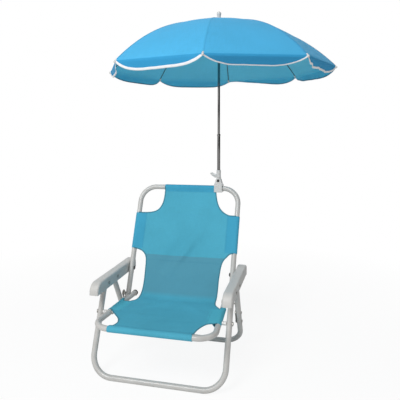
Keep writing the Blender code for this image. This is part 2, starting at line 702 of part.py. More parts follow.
def build_armrests():
    for side_name, side in SIDES:
        width = ARM_OUTER_FACE - ARM_INNER_FACE
        shell = prism_bmesh(arm_outline(ARM_INNER_FACE, 0, ARM_FOOT), X_AXIS * width)
        round_side_edges(shell, ARM_EDGE_ROUND, 3)
        hollow_outline = arm_outline(ARM_INNER_FACE + ARM_WALL, ARM_WALL, ARM_FOOT - OVERRUN)
        hollow = prism_bmesh(hollow_outline, X_AXIS * (width - 2 * ARM_WALL))
        round_side_edges(hollow, ARM_EDGE_ROUND - ARM_WALL, 2)
        mirror = Matrix.Diagonal((side, 1, 1, 1))
        shell.transform(mirror)
        hollow.transform(mirror)
        arm = mesh_object("armrest_" + side_name, shell, "arm_plastic")
        cut(arm, "armrest_hollow_" + side_name, hollow)
        middle = side * (ARM_INNER_FACE + ARM_OUTER_FACE) / 2
        for pivot in (ARM_FRONT_PIVOT, ARM_LEG_PIVOT):
            drill(arm, at_x(pivot, middle), X_AXIS, RIVET_RADIUS + BORE_PLAY, width + 2 * OVERRUN)
        inner_wall = at_x(ARM_BACK_PIVOT, side * ARM_INNER_FACE)
        drill(arm, inner_wall, X_AXIS, BOLT_RADIUS + BORE_PLAY, 2 * OVERRUN)
        set_origin(arm, ARM_FRONT_PIVOT.copy())


def sheet_bmesh(rows, thickness):
    """Closed sheet from rows of (points, normal); each row holds the same number of points."""
    bm = bmesh.new()
    tops = []
    floors = []
    for points, normal in rows:
        tops.append([bm.verts.new(point + normal * thickness) for point in points])
        floors.append([bm.verts.new(point) for point in points])
    last = len(tops[0]) - 1
    for row in range(len(rows) - 1):
        for column in range(last):
            for grid in (tops, floors):
                near = (grid[row][column], grid[row][column + 1])
                far = (grid[row + 1][column + 1], grid[row + 1][column])
                bm.faces.new(near + far)
        for column in (0, last):
            upper = (tops[row][column], tops[row + 1][column])
            bm.faces.new(upper + (floors[row + 1][column], floors[row][column]))
    for row in (0, len(rows) - 1):
        for column in range(last):
            upper = (tops[row][column], tops[row][column + 1])
            bm.faces.new(upper + (floors[row][column + 1], floors[row][column]))
    return bm


def cut_share(narrow_end, wide_end, along):
    """Share of the full width along a rounded cut-out: 0 at its narrow end, 1 at its wide end."""
    share = min(max((along - narrow_end) / (wide_end - narrow_end), 0.0), 1.0)
    return 1 - math.sqrt(1 - share * share)


def cut_rows(wide_end, narrow_end):
    """Places of the sheet's rows along a cut-out, closest together where it curves most."""
    return [wide_end + (narrow_end - wide_end) * share for share in CUT_ROW_SHARES]


def sag_at(share, depth):
    """How far the sheet hangs at a share of the way from its bar."""
    return depth * math.sin(math.pi / 2 * min(share / SAG_RISE_SHARE, 1.0))


def sheet_row(half, sag, origin, normal):
    """Points across the sheet, level at the tubes and sagging toward the middle."""
    points = []
    for column in range(SHEET_COLUMNS + 1):
        share = 2 * column / SHEET_COLUMNS - 1
        dip = sag * (1 - share * share)
        points.append(origin + X_AXIS * half * share - normal * dip)
    return points, normal


def sleeve_bmesh(start, end):
    """A closed cloth tube around a frame tube from start to end."""
    inner = TUBE_RADIUS + SLEEVE_GAP
    outer = inner + CLOTH
    run = end - start
    profile = [(inner, 0), (outer, 0), (outer, run.length), (inner, run.length)]
    return turned_bmesh(profile, POLE_SIDES, True, start, run.normalized())


def seat_sheet_half(y):
    """Half width of the seat sheet at a depth y, with the corner cut-outs beside the front sleeve."""
    tube = seat_half_width(y)
    if y < SEAT_WING_REAR:
        narrow = FRONT_SLEEVE_HALF - SHEET_SETBACK
        return narrow + (tube - narrow) * cut_share(SEAT_FRONT_Y, SEAT_WING_FRONT, y)
    waist_start = SEAT_WING_REAR + SEAT_CUT_LENGTH
    return WAIST_HALF + (tube - WAIST_HALF) * cut_share(waist_start, SEAT_WING_REAR, y)


def seat_rows():
    """Rows of the seat sheet from the front bar to the bend behind the sitter."""
    flat_end = SEAT_HINGE.y - CREASE_LEAD
    middle = (SEAT_WING_FRONT + SEAT_WING_REAR) / 2
    depths = cut_rows(SEAT_WING_FRONT, SEAT_FRONT_Y)[::-1] + [SEAT_WING_FRONT, middle, SEAT_WING_REAR]
    depths += cut_rows(SEAT_WING_REAR, SEAT_WING_REAR + SEAT_CUT_LENGTH) + [flat_end]
    rows = []
    for y in depths:
        share = (y - SEAT_FRONT_Y) / (flat_end - SEAT_FRONT_Y)
        origin = Vector((0, y, SEAT_HEIGHT + SLING_OFFSET))
        rows.append(sheet_row(seat_sheet_half(y), sag_at(share, SEAT_SAG), origin, Z_AXIS))
    return rows


def crease_rows():
    """Rows of the loose bend that turns the sheet from the seat up to the back."""
    start = Vector((0, SEAT_HINGE.y - CREASE_LEAD, SEAT_HEIGHT + SLING_OFFSET))
    end = SEAT_HINGE + LEAN_UP * (CREASE_RADIUS - CLOTH) + LEAN_FRONT * SLING_OFFSET
    handle = CREASE_RADIUS * CREASE_HANDLE_SHARE
    low = start + Y_AXIS * handle
    high = end - LEAN_UP * handle
    rows = []
    for share in CREASE_ROW_SHARES:
        rest = 1 - share
        origin = start * rest**3 + low * 3 * rest**2 * share + high * 3 * rest * share**2 + end * share**3
        normal = (Z_AXIS * rest + LEAN_FRONT * share).normalized()
        dip = (SEAT_SAG * rest + BACK_SAG * share) * CREASE_SAG_SHARE
        rows.append(sheet_row(WAIST_HALF, dip, origin, normal))
    return rows


def build_sling_seat():
    seat = mesh_object("sling_seat", sheet_bmesh(seat_rows() + crease_rows(), CLOTH - 2 * GAP), "sling_cloth")
    bar_start = Vector((-FRONT_SLEEVE_HALF, SEAT_FRONT_Y, SEAT_HEIGHT))
    join(seat, "sleeve_front", sleeve_bmesh(bar_start, bar_start + X_AXIS * 2 * FRONT_SLEEVE_HALF))
    wing = (SEAT_WING_FRONT, SEAT_WING_REAR)
    for side_name, side in SIDES:
        ends = [Vector((side * seat_half_width(y), y, SEAT_HEIGHT)) for y in wing]
        join(seat, "sleeve_seat_" + side_name, sleeve_bmesh(*ends))
        # An eyelet lets the leg bolt's head through the sleeve.
        bolt_place = at_x(SEAT_FRONT_PIVOT, side * seat_half_width(SEAT_FRONT_PIVOT.y))
        drill(seat, bolt_place, X_AXIS, BOLT_HEAD_RADIUS + 2 * GAP, 2 * (TUBE_RADIUS + OVERRUN))


def back_sheet_half(height):
    """Half width of the back sheet at a height along the back, with cut-outs below and above the wings."""
    if height < BACK_WING_HIGH:
        return WAIST_HALF + (BACK_HALF_WIDTH - WAIST_HALF) * cut_share(WAIST_HIGH, BACK_WING_LOW, height)
    narrow = TOP_SLEEVE_HALF - SHEET_SETBACK
    return narrow + (BACK_HALF_WIDTH - narrow) * cut_share(TOP_CUT_HIGH, BACK_WING_HIGH, height)


def build_sling_back():
    low_end = CREASE_RADIUS + GAP
    middle = (BACK_WING_LOW + BACK_WING_HIGH) / 2
    heights = [low_end] + cut_rows(BACK_WING_LOW, WAIST_HIGH)[::-1]
    heights += [BACK_WING_LOW, middle, BACK_WING_HIGH]
    heights += cut_rows(BACK_WING_HIGH, TOP_CUT_HIGH) + [BACK_LENGTH]
    rows = []
    for height in heights:
        origin = SEAT_HINGE + LEAN_UP * height + LEAN_FRONT * SLING_OFFSET
        sag = sag_at(1 - height / BACK_LENGTH, BACK_SAG)
        rows.append(sheet_row(back_sheet_half(height), sag, origin, LEAN_FRONT))
    back = mesh_object("sling_back", sheet_bmesh(rows, CLOTH - 2 * GAP), "sling_cloth")
    bar_start = TOP_BAR - X_AXIS * TOP_SLEEVE_HALF
    join(back, "sleeve_top", sleeve_bmesh(bar_start, bar_start + X_AXIS * 2 * TOP_SLEEVE_HALF))
    for side_name, side in SIDES:
        wing = (BACK_WING_LOW, BACK_WING_HIGH)
        ends = [at_x(SEAT_HINGE + LEAN_UP * height, side * BACK_HALF_WIDTH) for height in wing]
        join(back, "sleeve_back_" + side_name, sleeve_bmesh(*ends))
    set_origin(back, SEAT_HINGE.copy())


def clamp_outline():
    """Front outline of the clamp: straight sides that close in tangent to the round ears."""
    shoulder = Vector((CLAMP_HALF_WIDTH, CLAMP_SHOULDER - TILT_PIVOT_RISE))
    tangent = math.atan2(shoulder.y, shoulder.x) + math.acos(EAR_RADIUS / shoulder.length)
    points = []
    half = CLAMP_HALF_WIDTH
    for x, z in ((-half, -CLAMP_DROP), (half, -CLAMP_DROP), (half, CLAMP_SHOULDER)):
        points.append(CLAMP_BAR + X_AXIS * x + Z_AXIS * z)
    steps = 2 * ARC_STEPS
    for step in range(steps + 1):
        angle = tangent + (math.pi - 2 * tangent) * step / steps
        around = X_AXIS * math.cos(angle) + Z_AXIS * math.sin(angle)
        points.append(TILT_PIVOT + around * EAR_RADIUS)
    points.append(CLAMP_BAR - X_AXIS * half + Z_AXIS * CLAMP_SHOULDER)
    return [point - Y_AXIS * CLAMP_FRONT_REACH for point in points]


def build_clamp_body():
    """A moulded hook over the top bar, open below, with two ears for the tilting socket."""
    block = prism_bmesh(clamp_outline(), Y_AXIS * (CLAMP_FRONT_REACH + CLAMP_REAR_REACH))
    rims = [edge for edge in block.edges if abs(edge.verts[0].co.y - edge.verts[1].co.y) < GAP]
    bmesh.ops.bevel(block, geom=rims, offset=CLAMP_EDGE, segments=1, profile=0.5, affect="EDGES")
    body = mesh_object("clamp_body", block, "white_plastic")
    width = X_AXIS * (CLAMP_HALF_WIDTH + OVERRUN)
    top = Z_AXIS * (TILT_PIVOT_RISE + EAR_RADIUS + OVERRUN)
    step = Z_AXIS * EAR_STEP
    ear = Y_AXIS * EAR_HALF_DEPTH
    front = Y_AXIS * (CLAMP_FRONT_REACH + OVERRUN)
    rear = Y_AXIS * (CLAMP_REAR_REACH + OVERRUN)
    cut(body, "clamp_front_step", box_bmesh(CLAMP_BAR - width - front + step, CLAMP_BAR + width - ear + top))
    cut(body, "clamp_rear_step", box_bmesh(CLAMP_BAR - width + ear + step, CLAMP_BAR + width + rear + top))
    channel_end = CLAMP_BAR - Z_AXIS * (CLAMP_DROP + OVERRUN)
    channel_length = 2 * (CLAMP_HALF_WIDTH + OVERRUN)
    channel = capsule_bmesh(CLAMP_BAR, channel_end, TUBE_RADIUS + GAP, X_AXIS, channel_length, 2 * ARC_STEPS)
    cut(body, "clamp_channel", channel)
    slot_half = Y_AXIS * (TONGUE_THICKNESS / 2 + GAP)
    slot_floor = Z_AXIS * (TILT_PIVOT_RISE - TONGUE_RADIUS - 2 * GAP)
    slot_low = CLAMP_BAR - width - slot_half + slot_floor
    cut(body, "tongue_slot", box_bmesh(slot_low, CLAMP_BAR + width + slot_half + top))
    drill(body, TILT_PIVOT, Y_AXIS, TILT_BOLT_RADIUS + BORE_PLAY, 2 * (EAR_HALF_DEPTH + OVERRUN))
    lip = CLAMP_BAR + Y_AXIS * (TUBE_RADIUS + CLAMP_REAR_REACH) / 2
    lip_length = CLAMP_REAR_REACH - TUBE_RADIUS + 2 * OVERRUN
    drill(body, lip, Y_AXIS, CLAMP_SCREW_RADIUS + BORE_PLAY, lip_length)
    set_origin(body, CLAMP_BAR.copy())


def build_clamp_screw():
    """A screw through the clamp's rear lip that presses on the bar, with a lobed knob."""
    tip = TUBE_RADIUS + 2 * GAP
    knob_start = CLAMP_REAR_REACH + KNOB_CLEARANCE
    end = knob_start + KNOB_LENGTH
    profile = [(0, tip), (CLAMP_SCREW_RADIUS, tip), (CLAMP_SCREW_RADIUS, end - GAP), (0, end - GAP)]
    screw = turned("clamp_screw", profile, CLAMP_BAR, Y_AXIS, "white_plastic")
    outline = []
    steps = KNOB_LOBES * PIN_SIDES // 2
    for step in range(steps):
        angle = math.tau * step / steps
        radius = KNOB_RADIUS * (1 + KNOB_LOBE_SHARE * math.cos(KNOB_LOBES * angle))
        around = X_AXIS * math.cos(angle) + Z_AXIS * math.sin(angle)
        outline.append(CLAMP_BAR + Y_AXIS * knob_start + around * radius)
    join(screw, "clamp_knob", prism_bmesh(outline, Y_AXIS * KNOB_LENGTH))
    set_origin(screw, CLAMP_BAR.copy())


def build_tilt_head():
    """The pole's socket on a round tongue that tilts between the clamp's ears."""
    bore = POLE_RADIUS + GAP
    profile = [
        (0, 0),
        (SOCKET_FLANGE_RADIUS, 0),
        (SOCKET_FLANGE_RADIUS, SOCKET_FLANGE_HEIGHT),
        (SOCKET_RADIUS, SOCKET_FLANGE_HEIGHT),
        (SOCKET_RADIUS, SOCKET_LENGTH),
        (bore, SOCKET_LENGTH),
        (bore, SOCKET_FLOOR),
        (0, SOCKET_FLOOR),
    ]
    head = turned("tilt_head", profile, SOCKET_BASE, Z_AXIS, "white_plastic", POLE_SIDES)
    join(head, "tilt_tongue", rod_bmesh(TILT_PIVOT, Y_AXIS, TONGUE_RADIUS, TONGUE_THICKNESS, TUBE_SIDES))
    neck_half = X_AXIS * NECK_HALF_WIDTH + Y_AXIS * (TONGUE_THICKNESS / 2 - GAP)
    neck_top = SOCKET_BASE + Z_AXIS * SOCKET_FLOOR / 2
    join(head, "tilt_neck", box_bmesh(TILT_PIVOT - neck_half, neck_top + neck_half))
    boss_root = (bore + SOCKET_RADIUS) / 2
    boss_place = LOCK_SCREW_PLACE - X_AXIS * (boss_root + BOSS_REACH) / 2
    join(head, "lock_boss", rod_bmesh(boss_place, X_AXIS, BOSS_RADIUS, BOSS_REACH - boss_root))
    drill_place = LOCK_SCREW_PLACE - X_AXIS * (BOSS_REACH + OVERRUN) / 2
    drill(head, drill_place, X_AXIS, LOCK_SCREW_RADIUS + BORE_PLAY, BOSS_REACH + OVERRUN)
    drill(head, TILT_PIVOT, Y_AXIS, TILT_BOLT_RADIUS + BORE_PLAY, TONGUE_THICKNESS + 2 * OVERRUN)
    set_origin(head, TILT_PIVOT.copy())


def build_tilt_bolt():
    seat = EAR_HALF_DEPTH + GAP
    flat = TILT_HEAD_RADIUS * HEAD_FLAT_SHARE
    shoulder = RIVET_HEAD_HEIGHT * HEAD_SHOULDER_SHARE
    profile = [
        (0, -seat - RIVET_HEAD_HEIGHT),
        (flat, -seat - RIVET_HEAD_HEIGHT),
        (TILT_HEAD_RADIUS, -seat - shoulder),
        (TILT_HEAD_RADIUS, -seat),
        (TILT_BOLT_RADIUS, -seat),
        (TILT_BOLT_RADIUS, seat),
        (TILT_HEAD_RADIUS, seat),
        (TILT_HEAD_RADIUS, seat + BOLT_HEAD_HEIGHT),
        (0, seat + BOLT_HEAD_HEIGHT),
    ]
    turned("tilt_bolt", profile, TILT_PIVOT, Y_AXIS, "zinc")


def build_lock_screw():
    """The thumb screw in the socket's side, with a flat wing to turn it by."""
    hub_start = BOSS_REACH + GAP
    wing_start = hub_start + WING_THICKNESS
    profile = [
        (0, POLE_RADIUS + GAP),
        (LOCK_SCREW_RADIUS, POLE_RADIUS + GAP),
        (LOCK_SCREW_RADIUS, hub_start),
        (LOCK_HUB_RADIUS, hub_start),
        (LOCK_HUB_RADIUS, wing_start),
        (0, wing_start + GAP),
    ]
    screw = turned("pole_lock_screw", profile, LOCK_SCREW_PLACE, -X_AXIS, "white_plastic")
    root = WING_THICKNESS / 2
    corner = WING_HALF_HEIGHT - WING_END_ROUND
    outline = [(hub_start + root, -root), (hub_start + root, root)]
    for sign in (1, -1):
        for step in range(ARC_STEPS + 1):
            angle = math.pi / 2 * (step / ARC_STEPS if sign > 0 else 1 - step / ARC_STEPS)
            reach = WING_REACH - WING_END_ROUND + WING_END_ROUND * math.sin(angle)
            outline.append((reach, sign * (corner + WING_END_ROUND * math.cos(angle))))
    points = [LOCK_SCREW_PLACE - X_AXIS * x + Z_AXIS * z - Y_AXIS * root for x, z in outline]
    join(screw, "lock_wing", prism_bmesh(points, Y_AXIS * WING_THICKNESS))
    set_origin(screw, LOCK_SCREW_PLACE.copy())


def build_pole():
    """A lower tube with a rolled lip and a thinner upper tube that plugs into it."""
    inner = POLE_RADIUS - POLE_WALL
    length = POLE_JOINT.z - POLE_BASE.z
    lip_start = length - POLE_LIP_HEIGHT
    profile = [
        (inner, 0),
        (POLE_RADIUS, 0),
        (POLE_RADIUS, lip_start),
        (POLE_RADIUS + POLE_LIP, lip_start),
        (POLE_RADIUS + POLE_LIP, length),
        (inner, length),
    ]
    lower = turned("pole_lower", profile, POLE_BASE, Z_AXIS, "chrome", POLE_SIDES, closed=True)
    upper_base = POLE_JOINT - Z_AXIS * POLE_OVERLAP
    upper_length = CROWN_TOP.z - GAP - upper_base.z
    upper_inner = UPPER_POLE_RADIUS - UPPER_POLE_WALL
    profile = [
        (upper_inner, 0),
        (UPPER_POLE_RADIUS, 0),
        (UPPER_POLE_RADIUS, upper_length),
        (upper_inner, upper_length),
    ]
    upper = turned("pole_upper", profile, upper_base, Z_AXIS, "chrome", POLE_SIDES, closed=True)
    for pole in (lower, upper):
        drill_place = SNAP_PLACE - Y_AXIS * (POLE_RADIUS + OVERRUN) / 2
        drill(pole, drill_place, Y_AXIS, SNAP_RADIUS + BORE_PLAY, POLE_RADIUS + OVERRUN)


def build_snap_button():
    """A domed button that stands out through both tubes, on a V spring inside the upper one."""
    dome = POLE_RADIUS + SNAP_PROUD
    flat = SNAP_RADIUS * HEAD_FLAT_SHARE
    base = SNAP_BASE_DEPTH + SNAP_BASE_THICKNESS
    profile = [
        (0, SNAP_BASE_DEPTH),
        (SNAP_BASE_RADIUS, SNAP_BASE_DEPTH),
        (SNAP_BASE_RADIUS, base),
        (SNAP_RADIUS, base),
        (SNAP_RADIUS, dome - SNAP_PROUD * HEAD_SHOULDER_SHARE),
        (flat, dome),
        (0, dome),
    ]
    button = turned("snap_button", profile, SNAP_PLACE, -Y_AXIS, "chrome")
    root = SNAP_PLACE - Y_AXIS * (SNAP_BASE_DEPTH + GAP)
    drop = Z_AXIS * SPRING_LENGTH
    far = SNAP_PLACE + Y_AXIS * SPRING_REACH
    leaf = Y_AXIS * SPRING_THICKNESS
    fold = Z_AXIS * SPRING_THICKNESS
    rise = Z_AXIS * SNAP_RADIUS
    outline = [root + rise, root - drop, far - drop, far, far - leaf]
    outline += [far - leaf - drop + fold, root + leaf - drop + fold, root + leaf + rise]
    spring = prism_bmesh([point - X_AXIS * SPRING_WIDTH / 2 for point in outline], X_AXIS * SPRING_WIDTH)
    join(button, "snap_spring", spring)


def slot_cutters(place, low, high):
    """Eight radial slots around the pole, open outwards, as one cutter."""
    bm = bmesh.new()
    inner = SLOT_ROOT_RADIUS
    outer = CROWN_RADIUS + OVERRUN
    for number in range(RIB_COUNT):
        made = bmesh.ops.create_cube(bm, size=1)
        shape = Matrix.Diagonal((outer - inner, SLOT_WIDTH, high - low, 1))
        move = Matrix.Translation(X_AXIS * (inner + outer) / 2 + Z_AXIS * (low + high) / 2)
        turn = Matrix.Rotation(rib_angle(number), 4, "Z")
        bmesh.ops.transform(bm, matrix=Matrix.Translation(place) @ turn @ move @ shape, verts=made["verts"])
    return bm


def rib_angle(number):
    return RIB_PHASE + math.tau * number / RIB_COUNT


def build_crown():
    """The slotted hub at the pole's top, with the wire ring that its rib eyes turn on."""
    bore = UPPER_POLE_RADIUS + GAP
    profile = [
        (bore, -CROWN_FOOT),
        (CROWN_RADIUS, -CROWN_FOOT),
        (CROWN_RADIUS, CROWN_CAP - CROWN_EDGE),
        (CROWN_RADIUS - CROWN_EDGE, CROWN_CAP),
        (bore, CROWN_CAP),
    ]
    crown = turned("crown", profile, CROWN_CENTRE, Z_AXIS, "white_plastic", TUBE_SIDES, closed=True)
    cut(crown, "crown_slots", slot_cutters(CROWN_CENTRE, -CROWN_FOOT - OVERRUN, SLOT_RISE))
    section = []
    for step in range(WIRE_SIDES):
        angle = math.tau * step / WIRE_SIDES
        section.append((CROWN_PIVOT_RADIUS + WIRE_RADIUS * math.cos(angle), WIRE_RADIUS * math.sin(angle)))
    ring = turned_bmesh(section, 2 * RIB_COUNT, True)
    turn = Matrix.Rotation(RIB_PHASE + math.pi / (2 * RIB_COUNT), 4, "Z")
    ring.transform(Matrix.Translation(CROWN_CENTRE) @ turn)
    join(crown, "crown_wire", ring)


def build_runner():
    """The collar that slides on the pole, its slotted flange taking the stretchers' feet."""
    bore = UPPER_POLE_RADIUS + BORE_PLAY
    half = RUNNER_FLANGE_HEIGHT / 2
    foot = half - RUNNER_COLLAR_LENGTH
    profile = [
        (bore, foot),
        (RUNNER_GRIP_RADIUS, foot),
        (RUNNER_GRIP_RADIUS, foot + RUNNER_GRIP_LENGTH),
        (RUNNER_COLLAR_RADIUS, foot + RUNNER_GRIP_LENGTH),
        (RUNNER_COLLAR_RADIUS, -half),
        (CROWN_RADIUS, -half),
        (CROWN_RADIUS, half),
        (bore, half),
    ]
    runner = turned("runner", profile, RUNNER_CENTRE, Z_AXIS, "white_plastic", TUBE_SIDES, closed=True)
    cut(runner, "runner_slots", slot_cutters(RUNNER_CENTRE, -half - OVERRUN, half + OVERRUN))
    set_origin(runner, RUNNER_CENTRE.copy())


def finished_mesh(obj):
    """Apply an object's modifiers and keep only its mesh."""
    depsgraph = bpy.context.evaluated_depsgraph_get()
    mesh = bpy.data.meshes.new_from_object(obj.evaluated_get(depsgraph))
    helpers = [modifier.object for modifier in obj.modifiers]
    for item in [obj, *helpers]:
        bpy.data.objects.remove(item, do_unlink=True)
    mesh.materials.clear()
    return mesh


def rib_stations():
    """Distances outside the pivot at which a rib's wire bends a little."""
    start = RIB_EYE_RADIUS / 2
    end = RIB_REACH - GAP
    return [start + (end - start) * step / RIB_STEPS for step in range(RIB_STEPS + 1)]


def rib_point(x):
    return Vector((x, 0, -RIB_CURVE * x * x))


def rib_mesh():
    """One rib, from its eye at the local origin outward along X."""
    tip_start = RIB_REACH - TIP_CAP_LENGTH - TIP_CAP_TAPER
    path = [rib_point(x) for x in rib_stations()]
    rib = mesh_object("rib", swept_bmesh(path, Y_AXIS, RIB_RADIUS, WIRE_SIDES), None)
    join(rib, "rib_eye", rod_bmesh(Vector((0, 0, 0)), Y_AXIS, RIB_EYE_RADIUS, RIB_EYE_THICKNESS))
    drill(rib, Vector((0, 0, 0)), Y_AXIS, WIRE_RADIUS + BORE_PLAY, 2 * OVERRUN, WIRE_SIDES)
    joint = Vector((LUG_DISTANCE, 0, -LUG_FALL))
    lug_top = joint + Z_AXIS * (LUG_DROP - LUG_RADIUS)
    join(rib, "rib_lug", capsule_bmesh(joint, lug_top, LUG_RADIUS, Y_AXIS, LUG_THICKNESS))
    drill(rib, joint, Y_AXIS, FORK_PIN_RADIUS + BORE_PLAY, 2 * OVERRUN, WIRE_SIDES)
    cap_start = rib_point(tip_start)
    run = rib_point(RIB_REACH) - cap_start
    round_start = run.length - TIP_CAP_RADIUS
    shoulder = run.length - TIP_CAP_RADIUS * HEAD_SHOULDER_SHARE
    profile = [(0, 0), (TIP_CAP_RADIUS, TIP_CAP_TAPER), (TIP_CAP_RADIUS, round_start)]
    profile += [(TIP_CAP_RADIUS * CAP_CROWN_SHARE, shoulder), (0, run.length)]
    join(rib, "rib_tip", turned_bmesh(profile, WIRE_SIDES, False, cap_start, run.normalized()))
    return finished_mesh(rib)


def stretcher_mesh():
    """One stretcher, from its fork pin at the local origin inward to its foot."""
    fork_end = Vector((-FORK_LENGTH, 0, 0))
    foot = Vector((-STRETCHER_SPAN, 0, 0))
    cheek_inner = RIB_RADIUS + GAP
    fork_width = 2 * (cheek_inner + FORK_CHEEK)
    fork = capsule_bmesh(Vector((0, 0, 0)), fork_end, FORK_RADIUS, Y_AXIS, fork_width)
    stretcher = mesh_object("stretcher", fork, None)
    slot_low = Vector((-FORK_SLOT, -cheek_inner, -OVERRUN))
    slot_high = Vector((OVERRUN, cheek_inner, OVERRUN))
    cut(stretcher, "fork_slot", box_bmesh(slot_low, slot_high))
    pin_length = fork_width - FORK_CHEEK
    join(stretcher, "fork_pin", rod_bmesh(Vector((0, 0, 0)), Y_AXIS, FORK_PIN_RADIUS, pin_length, WIRE_SIDES))
    rod_end = foot + X_AXIS * STRETCHER_EYE_RADIUS / 2
    join(stretcher, "stretcher_rod", swept_bmesh([fork_end, rod_end], Y_AXIS, STRETCHER_RADIUS, WIRE_SIDES))
    eye = rod_bmesh(foot, Y_AXIS, STRETCHER_EYE_RADIUS, STRETCHER_EYE_THICKNESS)
    join(stretcher, "stretcher_eye", eye)
    drill(stretcher, foot, Y_AXIS, WIRE_RADIUS + BORE_PLAY, 2 * OVERRUN, WIRE_SIDES)
    mesh = finished_mesh(stretcher)
    mesh.transform(Matrix.Rotation(-STRETCHER_RISE, 4, "Y"))
    return mesh


def build_ribs():
    rib = rib_mesh()
    stretcher = stretcher_mesh()
    for number in range(RIB_COUNT):
        turn = Matrix.Rotation(rib_angle(number), 4, "Z")
        pivot = X_AXIS * CROWN_PIVOT_RADIUS
        joint = pivot + X_AXIS * LUG_DISTANCE - Z_AXIS * LUG_FALL
        for name, mesh, place in (("rib", rib, pivot), ("stretcher", stretcher, joint)):
            piece = new_object(f"{name}_{number + 1}", mesh, "zinc")
            piece.location = CROWN_CENTRE + turn @ place
            piece.rotation_euler.z = rib_angle(number)


def canopy_height(x):
    """Height of the cover's inner face over the crown's centre, at a distance x outside the rib pivots."""
    if x < rib_stations()[1]:
        return CROWN_CAP + GAP
    clearance = (RIB_RADIUS + GAP) * math.hypot(1, 2 * RIB_CURVE * RIB_REACH)
    for low, high in zip(rib_stations(), rib_stations()[1:]):
        if low <= x <= high:
            share = (x - low) / (high - low)
            return clearance + rib_point(low).lerp(rib_point(high), share).z
    raise ValueError("the cover reaches past its ribs")


def build_canopy():
    """A thin shell of eight gores, straight across between the ribs, its hem hanging between the tips."""
    hole = UPPER_POLE_RADIUS - UPPER_POLE_WALL
    rim = RIB_TIP_RADIUS - TIP_CAP_LENGTH - TIP_CAP_TAPER
    radii = [hole, CROWN_RADIUS] + [CROWN_PIVOT_RADIUS + x for x in rib_stations()[1:-1]]
    bm = bmesh.new()
    rows = [[] for _ in range(len(radii) + 2)]
    half_gore = math.pi / RIB_COUNT
    for number in range(RIB_COUNT):
        for column in range(GORE_COLUMNS):
            share = column / GORE_COLUMNS
            bearing = 2 * half_gore * share - half_gore
            around = Matrix.Rotation(rib_angle(number) + half_gore + bearing, 3, "Z") @ X_AXIS
            chord = math.cos(half_gore) / math.cos(bearing)
            fullness = 1 - abs(2 * share - 1) ** HEM_FULLNESS
            places = [(radius, canopy_height(radius - CROWN_PIVOT_RADIUS)) for radius in radii]
            band = rim - HEM_BAND * (1 - fullness)
            places.append((band, canopy_height(band - CROWN_PIVOT_RADIUS)))
            hem_z = canopy_height(rim - CROWN_PIVOT_RADIUS) - HEM_DROP * fullness
            places.append((rim - HEM_TUCK * fullness, hem_z))
            for row, (radius, z) in zip(rows, places):
                row.append(bm.verts.new(CROWN_CENTRE + around * radius * chord + Z_AXIS * z))
    for inner, outer in zip(rows, rows[1:]):
        for index in range(len(inner)):
            following = (index + 1) % len(inner)
            bm.faces.new((inner[index], outer[index], outer[following], inner[following]))
    canopy = new_object("canopy", smooth_mesh("canopy", bm), "canopy_cloth")
    cloth = canopy.modifiers.new("Cloth thickness", "SOLIDIFY")
    cloth.thickness = CANOPY_CLOTH
    cloth.offset = 1


def build_finial():
    """A turned knob on the cover, with a spigot down into the pole."""
    spigot = UPPER_POLE_RADIUS - UPPER_POLE_WALL - GAP
    shoulder = FINIAL_HEIGHT * FINIAL_SHOULDER_SHARE
    profile = [
        (0, -FINIAL_SPIGOT),
        (spigot, -FINIAL_SPIGOT),
        (spigot, GAP),
        (FINIAL_BASE_RADIUS, GAP),
        (FINIAL_BASE_RADIUS, FINIAL_BASE_HEIGHT),
        (FINIAL_WAIST_RADIUS, FINIAL_HEIGHT * FINIAL_WAIST_SHARE),
        (FINIAL_RADIUS, shoulder),
        (FINIAL_RADIUS * HEAD_FLAT_SHARE, FINIAL_HEIGHT),
        (0, FINIAL_HEIGHT),
    ]
    turned("finial", profile, APEX, Z_AXIS, "white_plastic", POLE_SIDES)


def main():
    clear_scene()
    build_frames()
    build_guide_plates()
    build_fasteners()
    build_caps()
    build_armrests()
    build_sling_seat()
    build_sling_back()
    build_clamp_body()
    build_clamp_screw()
    build_tilt_head()
    build_tilt_bolt()
    build_lock_screw()
    build_pole()
    build_snap_button()
    build_crown()
    build_runner()
    build_ribs()
    build_canopy()
    build_finial()


main()
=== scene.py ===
"""Child's folding sling chair with a clamp-on umbrella: its looks, built around the packed frame."""

import json
import math
from bisect import bisect_right
from functools import partial

